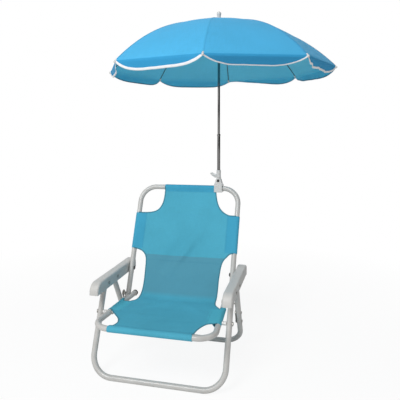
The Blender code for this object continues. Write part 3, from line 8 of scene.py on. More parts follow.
import bmesh
import bpy
from bpy.props import FloatProperty, FloatVectorProperty, IntProperty, PointerProperty
from mathutils import Matrix, Vector
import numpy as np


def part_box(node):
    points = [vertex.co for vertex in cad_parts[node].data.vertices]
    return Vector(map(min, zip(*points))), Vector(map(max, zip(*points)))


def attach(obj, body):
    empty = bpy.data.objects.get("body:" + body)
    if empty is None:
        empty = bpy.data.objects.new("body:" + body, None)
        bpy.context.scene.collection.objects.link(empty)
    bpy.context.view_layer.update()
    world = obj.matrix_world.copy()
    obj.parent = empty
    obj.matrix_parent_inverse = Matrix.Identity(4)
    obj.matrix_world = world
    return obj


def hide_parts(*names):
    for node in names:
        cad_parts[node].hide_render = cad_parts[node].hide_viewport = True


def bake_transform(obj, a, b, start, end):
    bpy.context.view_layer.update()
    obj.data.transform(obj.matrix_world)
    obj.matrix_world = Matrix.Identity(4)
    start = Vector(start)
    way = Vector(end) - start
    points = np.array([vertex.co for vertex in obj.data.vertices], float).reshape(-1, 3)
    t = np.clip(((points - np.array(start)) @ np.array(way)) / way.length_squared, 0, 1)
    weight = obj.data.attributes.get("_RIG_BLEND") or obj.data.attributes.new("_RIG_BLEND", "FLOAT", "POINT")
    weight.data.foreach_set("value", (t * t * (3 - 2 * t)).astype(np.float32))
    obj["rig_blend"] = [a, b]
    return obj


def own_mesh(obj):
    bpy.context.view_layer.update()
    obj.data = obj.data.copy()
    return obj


bl_info = {
    "name": "Umbrella Chair",
    "version": (1, 0, 0),
    "blender": (4, 5, 0),
    "location": "3D View > Sidebar > Umbrella Chair",
    "description": "Dresses a child's folding sling chair and its clamp-on umbrella",
    "category": "Object",
}

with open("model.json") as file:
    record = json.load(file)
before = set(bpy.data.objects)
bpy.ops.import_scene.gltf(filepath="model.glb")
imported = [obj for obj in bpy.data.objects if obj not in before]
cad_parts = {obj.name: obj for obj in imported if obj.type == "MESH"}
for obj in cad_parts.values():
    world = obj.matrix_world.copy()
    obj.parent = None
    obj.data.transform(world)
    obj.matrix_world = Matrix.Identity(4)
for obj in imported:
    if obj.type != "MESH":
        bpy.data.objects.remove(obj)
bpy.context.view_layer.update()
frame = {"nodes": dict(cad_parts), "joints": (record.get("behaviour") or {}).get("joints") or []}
NODES = frame["nodes"]
JOINTS = {joint["name"]: joint for joint in frame["joints"]}
SIDES = (("left", 1), ("right", -1))
RIB_COUNT = 8

X_AXIS = Vector((1, 0, 0))
Y_AXIS = Vector((0, 1, 0))
Z_AXIS = Vector((0, 0, 1))
WHITE = (1, 1, 1, 1)


def pivot(joint):
    return Vector(JOINTS[joint]["pos_m"])


# Places on the frame, taken from its joints
SEAT_PIVOT = pivot("chair_fold")
SEAT_HINGE = pivot("back_fold")
ARM_FRONT = pivot("armrest_turn")
ARM_LEG = pivot("rear_leg_turn")
CLAMP_BAR = pivot("clamp_turn")
LOCK_PLACE = pivot("lock_screw_turn")
BACK_UP = (ARM_FRONT - SEAT_PIVOT).normalized()
BACK_FRONT = Vector((0, -BACK_UP.z, BACK_UP.y))
TOP_BAR = Vector((0, CLAMP_BAR.y, CLAMP_BAR.z))
BACK_LENGTH = (TOP_BAR - SEAT_HINGE).length
SEAT_LEVEL = SEAT_PIVOT.z
RIB_PIVOTS = [pivot(f"rib_{number}_turn") for number in range(1, RIB_COUNT + 1)]
CROWN = sum(RIB_PIVOTS, Vector()) / RIB_COUNT
CROWN_REACH = (RIB_PIVOTS[0] - CROWN).length
RIB_PHASE = math.atan2(RIB_PIVOTS[0].y - CROWN.y, RIB_PIVOTS[0].x - CROWN.x)
HALF_GORE = math.pi / RIB_COUNT


def size(name, text, default):
    return FloatProperty(name=name, description=text, default=default, unit="LENGTH")


def colour(name, text, default):
    return FloatVectorProperty(
        name=name, description=text, default=default, subtype="COLOR", min=0, max=1
    )


def amount(name, text, default, least=0.0):
    return FloatProperty(name=name, description=text, default=default, min=least)


class ChairTubeSettings(bpy.types.PropertyGroup):
    """Sizes and paint of the four bent tubes."""

    radius: size("Radius", "Outside radius of the tube", 0.0080)
    leg_bend: size("Leg bend", "Centre-line radius of the leg bends", 0.0600)
    seat_bend: size("Seat bend", "Centre-line radius of the seat bends", 0.0450)
    back_bend: size("Back bend", "Centre-line radius of the back bends", 0.0520)
    front_leg_half: size("Front leg half width", "From the middle to a front leg", 0.1890)
    rear_leg_half: size("Rear leg half width", "From the middle to a rear leg", 0.1912)
    back_half: size("Back half width", "From the middle to a back tube", 0.1662)
    seat_front_half: size("Seat front half width", "From the middle to a seat tube in front", 0.1680)
    seat_rear_half: size("Seat rear half width", "From the middle to a seat tube at the hinge", 0.1482)
    seat_reach: size("Seat reach", "From the seat's leg bolt forward to its front bar", 0.1014)
    end_margin: size("End margin", "Tube beyond its last bolt", 0.0130)
    top_margin: size("Top margin", "Leg tube above its pin in the armrest", 0.0104)
    paint: colour("Paint", "Powder coat", (0.535, 0.527, 0.508))
    sides: IntProperty(name="Sides", description="Faces around a tube", default=32, min=8, max=64)


class ChairSlingSettings(bpy.types.PropertyGroup):
    """Sizes and dye of the fabric sling."""

    cloth: size("Cloth", "Thickness of the cloth", 0.0009)
    play: size("Play", "Space between the cloth and a tube", 0.0003)
    seat_sag: size("Seat sag", "How far the seat hangs between its tubes", 0.0100)
    back_sag: size("Back sag", "How far the back hangs between its tubes", 0.0110)
    crease_lead: size("Crease lead", "From the hinge forward to where the bend begins", 0.0450)
    crease_rise: size("Crease rise", "From the hinge up to where the bend ends", 0.0600)
    front_half: size("Front half width", "Half the cloth's width on the front bar", 0.1153)
    top_half: size("Top half width", "Half the cloth's width on the top bar", 0.0868)
    hem: size("Hem", "From a tube's middle to its sleeve's stitching", 0.0310)
    dye: colour("Dye", "Colour of the sling", (0.096, 0.462, 0.628))
    thread: colour("Thread", "Colour of the stitching", (0.030, 0.220, 0.360))


class ChairFittingSettings(bpy.types.PropertyGroup):
    """Sizes, plastics and metals of the fittings."""

    arm_inner: size("Armrest inner face", "From the middle to an armrest's inner face", 0.1747)
    arm_outer: size("Armrest outer face", "From the middle to an armrest's outer face", 0.2025)
    arm_wall: size("Armrest wall", "Wall of the moulded armrest", 0.0022)
    arm_plastic: colour("Arm plastic", "Colour of the armrests", (0.585, 0.58, 0.56))
    white_plastic: colour("White plastic", "Colour of the clamp and hubs", (0.66, 0.655, 0.64))
    dark_plastic: colour("Dark plastic", "Colour of caps and dark bolts", (0.045, 0.043, 0.042))
    zinc: colour("Zinc", "Colour of bolts, rivets and plates", (0.56, 0.54, 0.51))
    steel: colour("Steel", "Colour of the ribs and stretchers", (0.075, 0.078, 0.082))
    # Painted reflection: the chrome is coloured far darker than bare chrome, standing in for dark
    # surroundings.
    chrome: colour("Chrome", "Colour of the pole", (0.235, 0.230, 0.225))


class ChairUmbrellaSettings(bpy.types.PropertyGroup):
    """Sizes and dye of the umbrella's cover."""

    rim: size("Rim", "From the pole to the cover's edge at a rib", 0.3570)
    rib_tip: size("Rib tip", "From the pole to a rib's tip", 0.3600)
    rib_fall: size("Rib fall", "How far a rib falls from its pivot to its tip", 0.1382)
    rib_radius: size("Rib radius", "Radius of a rib's wire", 0.0011)
    cloth: size("Cloth", "Thickness of the cover", 0.0006)
    tip_drop: size("Tip drop", "How far the hem hangs at a tip", 0.0050)
    crown_rise: size("Crown rise", "How far the cover stands over the ribs at the crown", 0.0115)
    piping: size("Piping", "Height of the white binding", 0.0062)
    dye: colour("Dye", "Colour of the cover outside", (0.084, 0.475, 0.815))
    # Painted daylight: the inside is coloured lighter than the outside dye, standing in for light through
    # the cloth.
    lining: colour("Lining", "Colour of the cover inside", (0.160, 0.610, 0.835))
    binding: colour("Binding", "Colour of the hem's binding", (0.86, 0.86, 0.87))


class ChairStudioSettings(bpy.types.PropertyGroup):
    """Floor, lamps and camera."""

    floor: colour("Floor", "Colour of the floor", (0.90, 0.90, 0.90))
    world: amount("World", "Strength of the light from all round", 0.39)
    key: amount("Key lamp", "Power of the lamp at the upper left", 51.0)
    fill: amount("Fill lamp", "Power of the lamp at the front right", 9.0)
    lens: amount("Lens", "Focal length on a 36 mm sensor", 39.616, 1.0)


# Meshes


def place_on(point, axis):
    """Carries the origin to a point and Z onto an axis."""
    return Matrix.Translation(point) @ Z_AXIS.rotation_difference(Vector(axis)).to_matrix().to_4x4()


def at_x(point, x):
    return Vector((x, point.y, point.z))


def spun(profile, place=None, axis=Z_AXIS, segments=32, closed=False):
    """Spin a half section of (radius, height) points about an axis; a closed section makes a ring."""
    bm = bmesh.new()
    verts = [bm.verts.new((radius, 0, height)) for radius, height in profile]
    edges = [bm.edges.new(pair) for pair in zip(verts, verts[1:])]
    if closed:
        edges.append(bm.edges.new((verts[-1], verts[0])))
    around = {"cent": (0, 0, 0), "axis": (0, 0, 1), "angle": math.tau, "steps": segments}
    bmesh.ops.spin(bm, geom=verts + edges, use_merge=True, **around)
    bmesh.ops.remove_doubles(bm, verts=bm.verts, dist=1e-7)
    bmesh.ops.recalc_face_normals(bm, faces=bm.faces)
    if place is not None:
        bm.transform(place_on(place, axis))
    return bm


def prism(outline, offset):
    """Extrude a closed outline by an offset."""
    bm = bmesh.new()
    face = bm.faces.new([bm.verts.new(point) for point in outline])
    made = bmesh.ops.extrude_face_region(bm, geom=[face])
    top = [item for item in made["geom"] if isinstance(item, bmesh.types.BMVert)]
    bmesh.ops.translate(bm, verts=top, vec=offset)
    bmesh.ops.recalc_face_normals(bm, faces=bm.faces)
    return bm


def bent_tube(corners, bend, radius, sides):
    """Push a disc along straight runs and spin it around the bend at each inner corner."""
    bm = bmesh.new()
    ring = bmesh.ops.create_circle(bm, cap_ends=True, radius=radius, segments=sides)["verts"]
    bmesh.ops.transform(bm, matrix=place_on(corners[0], corners[1] - corners[0]), verts=ring)
    face = ring[0].link_faces[0]
    here = corners[0]
    for number, corner in enumerate(corners[1:], 1):
        arrive = (corner - here).normalized()
        last = number == len(corners) - 1
        leave = arrive if last else (corners[number + 1] - corner).normalized()
        turn = 0.0 if last else arrive.angle(leave)
        stop = corner - arrive * bend * math.tan(turn / 2)
        made = bmesh.ops.extrude_face_region(bm, geom=[face, *face.edges, *face.verts])["geom"]
        moved = [item for item in made if isinstance(item, bmesh.types.BMVert)]
        bmesh.ops.translate(bm, verts=moved, vec=stop - here)
        face = [item for item in made if isinstance(item, bmesh.types.BMFace)][0]
        here = stop
        if not last:
            inward = (leave - arrive * arrive.dot(leave)).normalized()
            swing = {"cent": stop + inward * bend, "axis": arrive.cross(leave), "angle": turn}
            made = bmesh.ops.spin(bm, geom=[face, *face.edges, *face.verts], steps=14, **swing)["geom_last"]
            face = [item for item in made if isinstance(item, bmesh.types.BMFace)][0]
            here = corner + leave * bend * math.tan(turn / 2)
    bmesh.ops.recalc_face_normals(bm, faces=bm.faces)
    return bm


def swept(stations, sides=10, closed=True):
    """Bridge unit circles that each station's matrix shapes and places."""
    bm = bmesh.new()
    rings = []
    for station in stations:
        verts = bmesh.ops.create_circle(bm, radius=1, segments=sides)["verts"]
        bmesh.ops.transform(bm, matrix=station, verts=verts)
        rings.append({edge for vert in verts for edge in vert.link_edges})
    for low, high in zip(rings, rings[1:]):
        bmesh.ops.bridge_loops(bm, edges=[*low, *high])
    for ring in (rings[0], rings[-1]):
        bmesh.ops.contextual_create(bm, geom=list(ring))
    bmesh.ops.recalc_face_normals(bm, faces=bm.faces)
    return bm


def station(point, along, normal, half_width, half_height):
    """Matrix of an oval ring: its width lies across the path and its height along the normal."""
    along = along.normalized()
    across = normal.cross(along).normalized()
    normal = along.cross(across).normalized()
    axes = Matrix((across * half_width, normal * half_height, along)).transposed()
    return Matrix.Translation(point) @ axes.to_4x4()


def strip_along(points, normals, half_width, half_height, sides=10):
    """A narrow oval strip that follows points, lying flat on their normals."""
    stations = []
    for index, (point, normal) in enumerate(zip(points, normals)):
        along = points[min(index + 1, len(points) - 1)] - points[max(index - 1, 0)]
        stations.append(station(point, along, normal, half_width, half_height))
    return swept(stations, sides)


def lattice(rows, columns):
    """A flat grid and its vertices by row and column, to be laid on a form."""
    bm = bmesh.new()
    bm.verts.layers.float.new("layers")
    bm.loops.layers.uv.new("cloth")
    bmesh.ops.create_grid(bm, x_segments=columns, y_segments=rows, size=1)
    order = sorted(bm.verts, key=lambda vert: (round(vert.co.y, 5), vert.co.x))
    wide = columns + 1
    return bm, [order[row * wide : (row + 1) * wide] for row in range(rows + 1)]


def unrolled(bm, flat, judges=None):
    """Write flat places as UVs, and turn the faces so that the judging ones look up."""
    layer = bm.loops.layers.uv["cloth"]
    for face in bm.faces:
        for loop in face.loops:
            loop[layer].uv = flat[loop.vert]
    bmesh.ops.recalc_face_normals(bm, faces=bm.faces)
    if sum(face.normal.z for face in judges or bm.faces) < 0:
        bmesh.ops.reverse_faces(bm, faces=bm.faces)


def as_mesh(name, bm):
    mesh = bpy.data.meshes.new(name)
    bm.to_mesh(mesh)
    bm.free()
    return mesh


def joined(*shells):
    """Several closed shells in one bmesh."""
    whole = shells[0]
    for shell in shells[1:]:
        mesh = as_mesh("shell", shell)
        whole.from_mesh(mesh)
        bpy.data.meshes.remove(mesh)
    return whole


def placed(name, bm, material):
    """Put a bmesh into the scene as an object."""
    mesh = as_mesh(name, bm)
    mesh.materials.append(material)
    obj = bpy.data.objects.new(name, mesh)
    bpy.context.scene.collection.objects.link(obj)
    return obj


def smoothed(mesh, sharp):
    """Shade a mesh smooth, apart from its edges over an angle."""
    mesh.shade_smooth()
    mesh.set_sharp_from_angle(angle=math.radians(sharp))


def apply_modifiers(obj, sharp):
    """Make the modifiers real, and mark the sharp edges that they add."""
    depsgraph = bpy.context.evaluated_depsgraph_get()
    mesh = bpy.data.meshes.new_from_object(obj.evaluated_get(depsgraph))
    old = obj.data
    obj.modifiers.clear()
    obj.data = mesh
    bpy.data.meshes.remove(old)
    smoothed(mesh, sharp)


def piece(name, bm, material, body=None, stands_for=(), sharp=35.0, bevel=0.0):
    """Turn a bmesh into a finished piece of the chair."""
    obj = placed(name, bm, material)
    smoothed(obj.data, sharp)
    if bevel:
        edges = obj.modifiers.new("Soft edges", "BEVEL")
        edges.width = bevel
        edges.segments = 2
        edges.limit_method = "ANGLE"
        edges.angle_limit = math.radians(sharp)
        apply_modifiers(obj, sharp)
    if body:
        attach(obj, body)
    if stands_for:
        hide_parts(*stands_for)
    return obj


def thickened(obj, thickness, sharp, lining=None):
    """Give a sheet its thickness below its face, and a lining inside."""
    cloth = obj.modifiers.new("Cloth thickness", "SOLIDIFY")
    cloth.thickness = thickness
    cloth.offset = -1
    if lining:
        obj.data.materials.append(lining)
        cloth.material_offset = 1
        cloth.material_offset_rim = 0
    apply_modifiers(obj, sharp)


def softened(node):
    """A merged copy of a frame node, for its edges to be rounded."""
    bm = bmesh.new()
    bm.from_mesh(NODES[node].data)
    bmesh.ops.remove_doubles(bm, verts=bm.verts, dist=1e-6)
    bmesh.ops.dissolve_limit(bm, angle_limit=math.radians(0.4), verts=bm.verts, edges=bm.edges)
    return bm


def dress(name, material):
    """Give a CAD node that stays its finish."""
    for slot in NODES[name].material_slots:
        slot.link = "OBJECT"
        slot.material = material


# Materials


def add_node(tree, kind, inputs=(), output=0, **values):
    """The output of a new shader node; its inputs are values or other nodes' outputs."""
    made = tree.nodes.new("ShaderNode" + kind)
    for key, value in values.items():
        setattr(made, key, value)
    for name, value in dict(inputs).items():
        if isinstance(value, bpy.types.NodeSocket):
            tree.links.new(value, made.inputs[name])
        else:
            made.inputs[name].default_value = value
    return made.outputs[output] if made.outputs else None


def shade(rgb, factor):
    return tuple(channel * factor for channel in rgb)


class Finish:
    """A Principled material with a few helpers for its texture nodes."""

    def __init__(self, name):
        self.material = bpy.data.materials.new(name)
        self.material.use_nodes = True
        self.tree = self.material.node_tree
        self.shader = self.tree.nodes["Principled BSDF"]
        self.node = partial(add_node, self.tree)
        self.coords = self.node("TexCoord", output="Object")

    def set(self, values):
        for name, value in values.items():
            self.shader.inputs[name].default_value = value

    def drive(self, name, output):
        self.tree.links.new(output, self.shader.inputs[name])

    def noise(self, scale, detail=3.0, roughness=0.5, stretch=(1, 1, 1), coords=None):
        where = self.node("Mapping", {"Vector": coords or self.coords, "Scale": stretch})
        inputs = {"Vector": where, "Scale": scale, "Detail": detail, "Roughness": roughness}
        return self.node("TexNoise", inputs, "Fac")

    def spread(self, value, low, high, to_low=0.0, to_high=1.0):
        limits = {"From Min": low, "From Max": high, "To Min": to_low, "To Max": to_high}
        return self.node("MapRange", {"Value": value, **limits})

    def cloud(self, *noise, low=0.0, high=1.0):
        """Soft noise, spread between two values."""
        return self.spread(self.noise(*noise), 0.3, 0.7, low, high)

    def threads(self, pitch, direction, coords):
        """A band for each thread, a pitch apart."""
        inputs = {"Vector": coords, "Scale": math.tau / (20 * pitch), "Distortion": 0.35, "Detail": 0.0}
        kinds = {"wave_type": "BANDS", "bands_direction": direction, "wave_profile": "SIN"}
        return self.node("TexWave", inputs, "Fac", **kinds)

    def sum(self, operation, first, second):
        return self.node("Math", {0: first, 1: second}, operation=operation)

    def blend(self, share, first, second, kind="MIX"):
        colours = ((*value, 1.0) if isinstance(value, tuple) else value for value in (first, second))
        inputs = dict(zip(("Factor", 6, 7), (share, *colours)))
        return self.node("Mix", inputs, 2, data_type="RGBA", blend_type=kind)

    def mottle(self, share, rgb, low, high):
        return self.blend(share, shade(rgb, low), shade(rgb, high))

    def relief(self, height, distance, strength=1.0, **over):
        inputs = {"Height": height, "Distance": distance, "Strength": strength, **over}
        self.drive("Normal", self.node("Bump", inputs))


def powder_coat(made, paint):
    """Baked powder paint: a fine orange peel, a little mottling, scuffs near the ground."""
    made.set({"Coat Weight": 0.15, "Coat Roughness": 0.18})
    base = made.mottle(made.spread(made.noise(38.0), 0.35, 0.65), paint, 0.95, 1.04)
    scuffs = made.spread(made.noise(160.0, 5.0, 0.65, (1, 1, 2)), 0.60, 0.68)
    low = made.spread(made.node("SeparateXYZ", {"Vector": made.coords}, "Z"), 0.012, 0.001)
    worn = made.sum("MULTIPLY", scuffs, low)
    made.drive("Base Color", made.blend(worn, base, shade(paint, 0.42)))
    made.drive("Roughness", made.cloud(24.0, low=0.28, high=0.40))
    made.relief(made.noise(1300.0, 2.0), 0.00005, 0.4)


def moulded(made, rgb, roughness, grain, coat=0.0):
    """Moulded plastic: fine spark grain, faint flow marks and a touch of grime."""
    made.set({"Coat Weight": coat, "Coat Roughness": 0.2})
    base = made.mottle(made.cloud(22.0, 4.0, 0.6, (1.0, 0.35, 1.0)), rgb, 0.955, 1.02)
    grime = made.spread(made.noise(210.0, 5.0, 0.7), 0.66, 0.74, 0.0, 0.35)
    made.drive("Base Color", made.blend(grime, base, shade(rgb, 0.62)))
    made.drive("Roughness", made.cloud(65.0, low=roughness - 0.05, high=roughness + 0.07))
    made.relief(made.noise(grain, 2.0), 0.00010, 0.45)


def zinc_plate(made, zinc):
    """Zinc plated steel: drawn streaks, cloudy plating and a few dull spots."""
    made.set({"Metallic": 1.0})
    base = made.mottle(made.cloud(120.0, 4.0), zinc, 0.82, 1.08)
    spots = made.spread(made.noise(420.0, 3.0, 0.7), 0.64, 0.70, 0.0, 0.6)
    made.drive("Base Color", made.blend(spots, base, (0.30, 0.25, 0.20)))
    made.drive("Roughness", made.cloud(90.0, low=0.40, high=0.58))
    made.relief(made.noise(500.0, 2.0, 0.5, (8.0, 1.0, 1.0)), 0.00008, 0.4)


def rib_steel(made, steel):
    """Dark spring steel wire with drawn streaks and a few worn glints."""
    made.set({"Metallic": 0.85, "Roughness": 0.42})
    streaks = made.spread(made.noise(260.0, 4.0), 0.35, 0.65)
    base = made.blend(streaks, steel, tuple(channel + 0.050 for channel in steel))
    glints = made.spread(made.noise(700.0, 3.0, 0.7), 0.66, 0.72, 0.0, 0.6)
    made.drive("Base Color", made.blend(glints, base, (0.32, 0.31, 0.30)))
    made.relief(made.noise(900.0, 2.0), 0.00004, 0.4)


def chrome_plate(made, chrome):
    """Chromed tube: faint length-wise draw lines and a little haze; its colour is darkened as a painted dark
    reflection.
    """
    made.set({"Metallic": 1.0})
    haze = made.noise(30.0, 4.0, 0.6, (1, 1, 0.3))
    made.drive("Base Color", made.mottle(made.spread(haze, 0.3, 0.7), chrome, 0.92, 1.05))
    made.drive("Roughness", made.spread(haze, 0.3, 0.7, 0.10, 0.22))
    made.relief(made.noise(900.0, 2.0, 0.5, (1.0, 1.0, 0.02)), 0.00003, 0.5)


def woven(made, rgb, pitch, roughness, relief, fade, over):
    """Plain weave: warp and weft threads, slubs, a slow fade in the dye and a soft sheen."""
    made.set({"Roughness": roughness, "Specular IOR Level": 0.07})
    made.set({"Sheen Weight": 0.02, "Sheen Roughness": 0.4})
    cloth = made.node("UVMap", uv_map="cloth")
    weave = made.sum("MULTIPLY", *(made.threads(pitch, direction, cloth) for direction in "XY"))
    slubs = (made.noise(1.0, 2.0, 0.5, (x, 940.0 - x, 1.0), cloth) for x in (900.0, 40.0))
    slubs = made.spread(made.sum("ADD", *slubs), 0.75, 1.25)
    base = made.mottle(made.cloud(9.0), rgb, 1.0 - fade, 1.0 + fade)
    tones = (made.blend(1.0, base, (tone,) * 3, "MULTIPLY") for tone in (0.95, 1.05))
    base = made.blend(slubs, *tones)
    base = made.blend(made.spread(weave, 0.0, 0.5, 0.20, 0.0), base, shade(rgb, 0.35))
    along = made.node("SeparateXYZ", {"Vector": cloth}, "Y")
    made.drive("Base Color", over(made, base, along))
    soft = made.node("Bump", {"Height": slubs, "Distance": 0.00010, "Strength": 0.4})
    made.relief(weave, relief, 0.8, Normal=soft)


def doubled_sling(made, base, along):
    """The cloth is doubled low on the back, where it looks duller, and in its sleeves."""
    low = made.spread(along, DOUBLED_LOW - 0.008, DOUBLED_LOW + 0.008)
    high = made.spread(along, DOUBLED_HIGH + 0.0006, DOUBLED_HIGH - 0.0006)
    inside = made.sum("MULTIPLY", low, high)
    base = made.blend(made.sum("MULTIPLY", inside, 0.55), base, (0.110, 0.270, 0.350))
    layers = made.node("Attribute", output="Fac", attribute_name="layers")
    on_back = made.spread(along, 0.19, 0.21)
    tint = made.blend(on_back, (0.120, 0.640, 0.780), (0.020, 0.300, 0.560))
    return made.blend(made.sum("MULTIPLY", layers, 0.36), base, tint)


def valance_painted_shade(made, base, along):
    """Below its knee the cover is painted a deeper blue: painted shade on the valance, which hangs down."""
    knee = (KNEE_START + KNEE_END) / 2 * COVER_RUN
    below = made.spread(along, knee - 0.002, knee + 0.002)
    # Painted shade: below the knee the cover is blended halfway to a dark blue.
    return made.blend(made.sum("MULTIPLY", below, 0.50), base, (0.006, 0.205, 0.450))


def daylight(made, base, along):
    """Daylight shines through the cover; its lining colour is painted lighter than the dye as painted
    daylight, and its inside is darker in a thin band at the hem.
    """
    radii = (1.0, 1.0, 1.0)
    made.set({"Subsurface Weight": 0.7, "Subsurface Radius": radii, "Subsurface Scale": 0.0016})
    dark_hem_band = made.spread(along, COVER_RUN * 0.983, COVER_RUN * 0.987)
    return made.blend(dark_hem_band, base, (0.020, 0.150, 0.230))


def tape(made, rgb, roughness, factor=1.0):
    """Narrow woven tape: fine ribs across it and a cloudy dye."""
    made.set({"Roughness": roughness, "Specular IOR Level": 0.25, "Sheen Weight": 0.1})
    made.drive("Base Color", made.mottle(made.cloud(120.0), shade(rgb, factor), 0.93, 1.05))
    made.relief(made.noise(1800.0, 2.0), 0.0001, 0.5)


# Each finish: its maker, its colour's group and name, and the maker's other values
RECIPES = {
    "powder_coat": (powder_coat, "tubes", "paint"),
    "arm_plastic": (moulded, "fittings", "arm_plastic", 0.46, 1500.0),
    "white_plastic": (moulded, "fittings", "white_plastic", 0.30, 700.0, 0.2),
    "dark_plastic": (moulded, "fittings", "dark_plastic", 0.48, 1200.0),
    "zinc_plate": (zinc_plate, "fittings", "zinc"),
    "rib_steel": (rib_steel, "fittings", "steel"),
    "chrome_plate": (chrome_plate, "fittings", "chrome"),
    "sling_cloth": (woven, "sling", "dye", 0.0008, 0.72, 0.00022, 0.05, doubled_sling),
    # The sling's binding is dyed at half the sling's dye: painted shade on its turned edges.
    "sling_binding": (tape, "sling", "dye", 0.75, 0.50),
    "sling_thread": (tape, "sling", "thread", 0.6),
    # The cover cloth carries painted shade on its valance.
    "cover_cloth": (woven, "umbrella", "dye", 0.0005, 0.62, 0.00008, 0.03, valance_painted_shade),
    "cover_lining": (woven, "umbrella", "lining", 0.0005, 0.70, 0.00008, 0.03, daylight),
    "hem_binding": (tape, "umbrella", "binding", 0.65),
}
FINISHES = {}


def finish(name):
    """Each finish is made once, when the first piece asks for it."""
    if name not in FINISHES:
        maker, group, dye, *values = RECIPES[name]
        made = Finish(name)
        maker(made, tuple(getattr(getattr(bpy.context.scene, "chair_" + group), dye)), *values)
        FINISHES[name] = made.material
    return FINISHES[name]


class Builder(bpy.types.Operator):
    """Shared base of the chair's operators."""

    bl_options = {"REGISTER", "UNDO"}

    def execute(self, context):
        self.build(context.scene)
        return {"FINISHED"}


class CHAIR_OT_tubes(Builder):
    """Bend the front legs, rear legs, seat and back from round tube"""

    bl_idname = "chair.tubes"
    bl_label = "Bent tubes"

    def build(self, scene):
        sizes = scene.chair_tubes
        flat = sizes.radius * math.cos(math.pi / sizes.sides)
        bar = Vector((0, 0, flat))
        seat_front = Vector((0, SEAT_PIVOT.y - sizes.seat_reach, SEAT_LEVEL))
        seat_end = SEAT_HINGE + Y_AXIS * sizes.end_margin
        end_half = tube_half(seat_end.y)
        back_end = SEAT_HINGE - BACK_UP * sizes.end_margin
        front_end = ARM_FRONT + BACK_UP * sizes.top_margin
        rear_bar = Vector((0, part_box("rear_leg_frame")[1].y - sizes.radius, flat))
        rear_end = ARM_LEG - (rear_bar - ARM_LEG).normalized() * sizes.top_margin
        front_half, rear_half, back_half = sizes.front_leg_half, sizes.rear_leg_half, sizes.back_half
        frames = {
            "front_leg": (bar, front_half, front_end, front_half, sizes.leg_bend),
            "rear_leg": (rear_bar, rear_half, rear_end, rear_half, sizes.leg_bend),
            "seat": (seat_front, sizes.seat_front_half, seat_end, end_half, sizes.seat_bend),
            "back": (TOP_BAR, back_half, back_end, back_half, sizes.back_bend),
        }
        for body, (middle, half_bar, end, half_end, bend) in frames.items():
            places = ((end, half_end), (middle, half_bar), (middle, -half_bar), (end, -half_end))
            bm = bent_tube([at_x(*place) for place in places], bend, sizes.radius, sizes.sides)
            piece(body + "_tube", bm, finish("powder_coat"), body, [body + "_frame"])


def tube_half(depth):
    """Centre-line half width of the seat's tubes at a depth."""
    sizes = bpy.context.scene.chair_tubes
    front = SEAT_PIVOT.y - sizes.seat_reach
    share = (depth - front) / (SEAT_HINGE.y - front)
    return sizes.seat_front_half + (sizes.seat_rear_half - sizes.seat_front_half) * share


ARM_NOSE = 0.030
ARM_TAIL = 0.014
ARM_ROUNDING = 0.0055
PANEL_INSET = 0.0062
PANEL_DEPTH = 0.0010
WEB_PLACES = (0.075, 0.135, 0.205, 0.235, 0.292)
WEB_HEIGHT = 0.010
WEB_THICKNESS = 0.0014
WEB_ROOT = 0.0004


class CHAIR_OT_armrests(Builder):
    """Mould the two armrests, hollow below with a drooping nose"""

    bl_idname = "chair.armrests"
    bl_label = "Armrests"

    def build(self, scene):
        sizes = scene.chair_fittings
        for side_name, side in SIDES:
            node = "armrest_" + side_name
            low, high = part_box(node)
            outline = [Vector((sizes.arm_inner, y, z)) for y, z in arm_outline(low, high)]
            bm = prism(outline, X_AXIS * (sizes.arm_outer - sizes.arm_inner))
            foot = [face for face in bm.faces if face.normal.z < -0.5 and len(face.verts) == 4
                    and all(vert.co.z < low.z + 1e-5 for vert in face.verts)]
            bmesh.ops.delete(bm, geom=foot, context="FACES_ONLY")
            rims = [edge for edge in bm.edges if not edge.is_boundary]
            round_rims(bm, rims, ARM_ROUNDING, 5)
            panels = [face for face in bm.faces if len(face.verts) > 8]
            inset = {"thickness": PANEL_INSET, "depth": -PANEL_DEPTH, "use_even_offset": True}
            bmesh.ops.inset_region(bm, faces=panels, **inset)
            bmesh.ops.solidify(bm, geom=bm.faces[:], thickness=sizes.arm_wall)
            if side < 0:
                bmesh.ops.scale(bm, vec=(-1, 1, 1), verts=bm.verts)
            bmesh.ops.recalc_face_normals(bm, faces=bm.faces)
            whole = joined(bm, *(arm_web(sizes, side, y, high.z) for y in WEB_PLACES))
            material = finish("arm_plastic")
            piece(node + "_moulding", whole, material, "armrests", [node], 32)


def round_rims(bm, edges, offset, segments):
    """Round the edges between a side panel and the faces across."""
    rims = [edge for edge in edges if sum(len(face.verts) > 4 for face in edge.link_faces) == 1]
    bmesh.ops.bevel(bm, geom=rims, offset=offset, segments=segments, profile=0.5, affect="EDGES",
                    material=-1)


def quarter(y, z, radius, first, steps):
    """Points of a quarter circle about (y, z), beginning after a number of quarters."""
    angles = [math.pi / 2 * (first + step / steps) for step in range(steps + 1)]
    return [(y + radius * math.cos(angle), z + radius * math.sin(angle)) for angle in angles]


def arm_outline(low, high):
    """Side outline of an armrest as (y, z): flat foot, rounded tail and drooping nose."""
    tail = quarter(high.y - ARM_TAIL, high.z - ARM_TAIL, ARM_TAIL, 0, 12)
    nose = quarter(low.y + ARM_NOSE, high.z - ARM_NOSE, ARM_NOSE, 1, 16)
    return [(low.y, low.z), (high.y, low.z), *tail, *nose]


def arm_web(sizes, side, y, top):
    """A thin stiffening web across the hollow."""
    bm = bmesh.new()
    bmesh.ops.create_cube(bm, size=1)
    width = sizes.arm_outer - sizes.arm_inner - sizes.arm_wall
    x = side * (sizes.arm_inner + sizes.arm_outer) / 2
    z = top - sizes.arm_wall - WEB_HEIGHT / 2 + WEB_ROOT
    bmesh.ops.scale(bm, vec=(width, WEB_THICKNESS, WEB_HEIGHT), verts=bm.verts)
    bmesh.ops.translate(bm, vec=(x, y, z), verts=bm.verts)
    return bm


# The sling


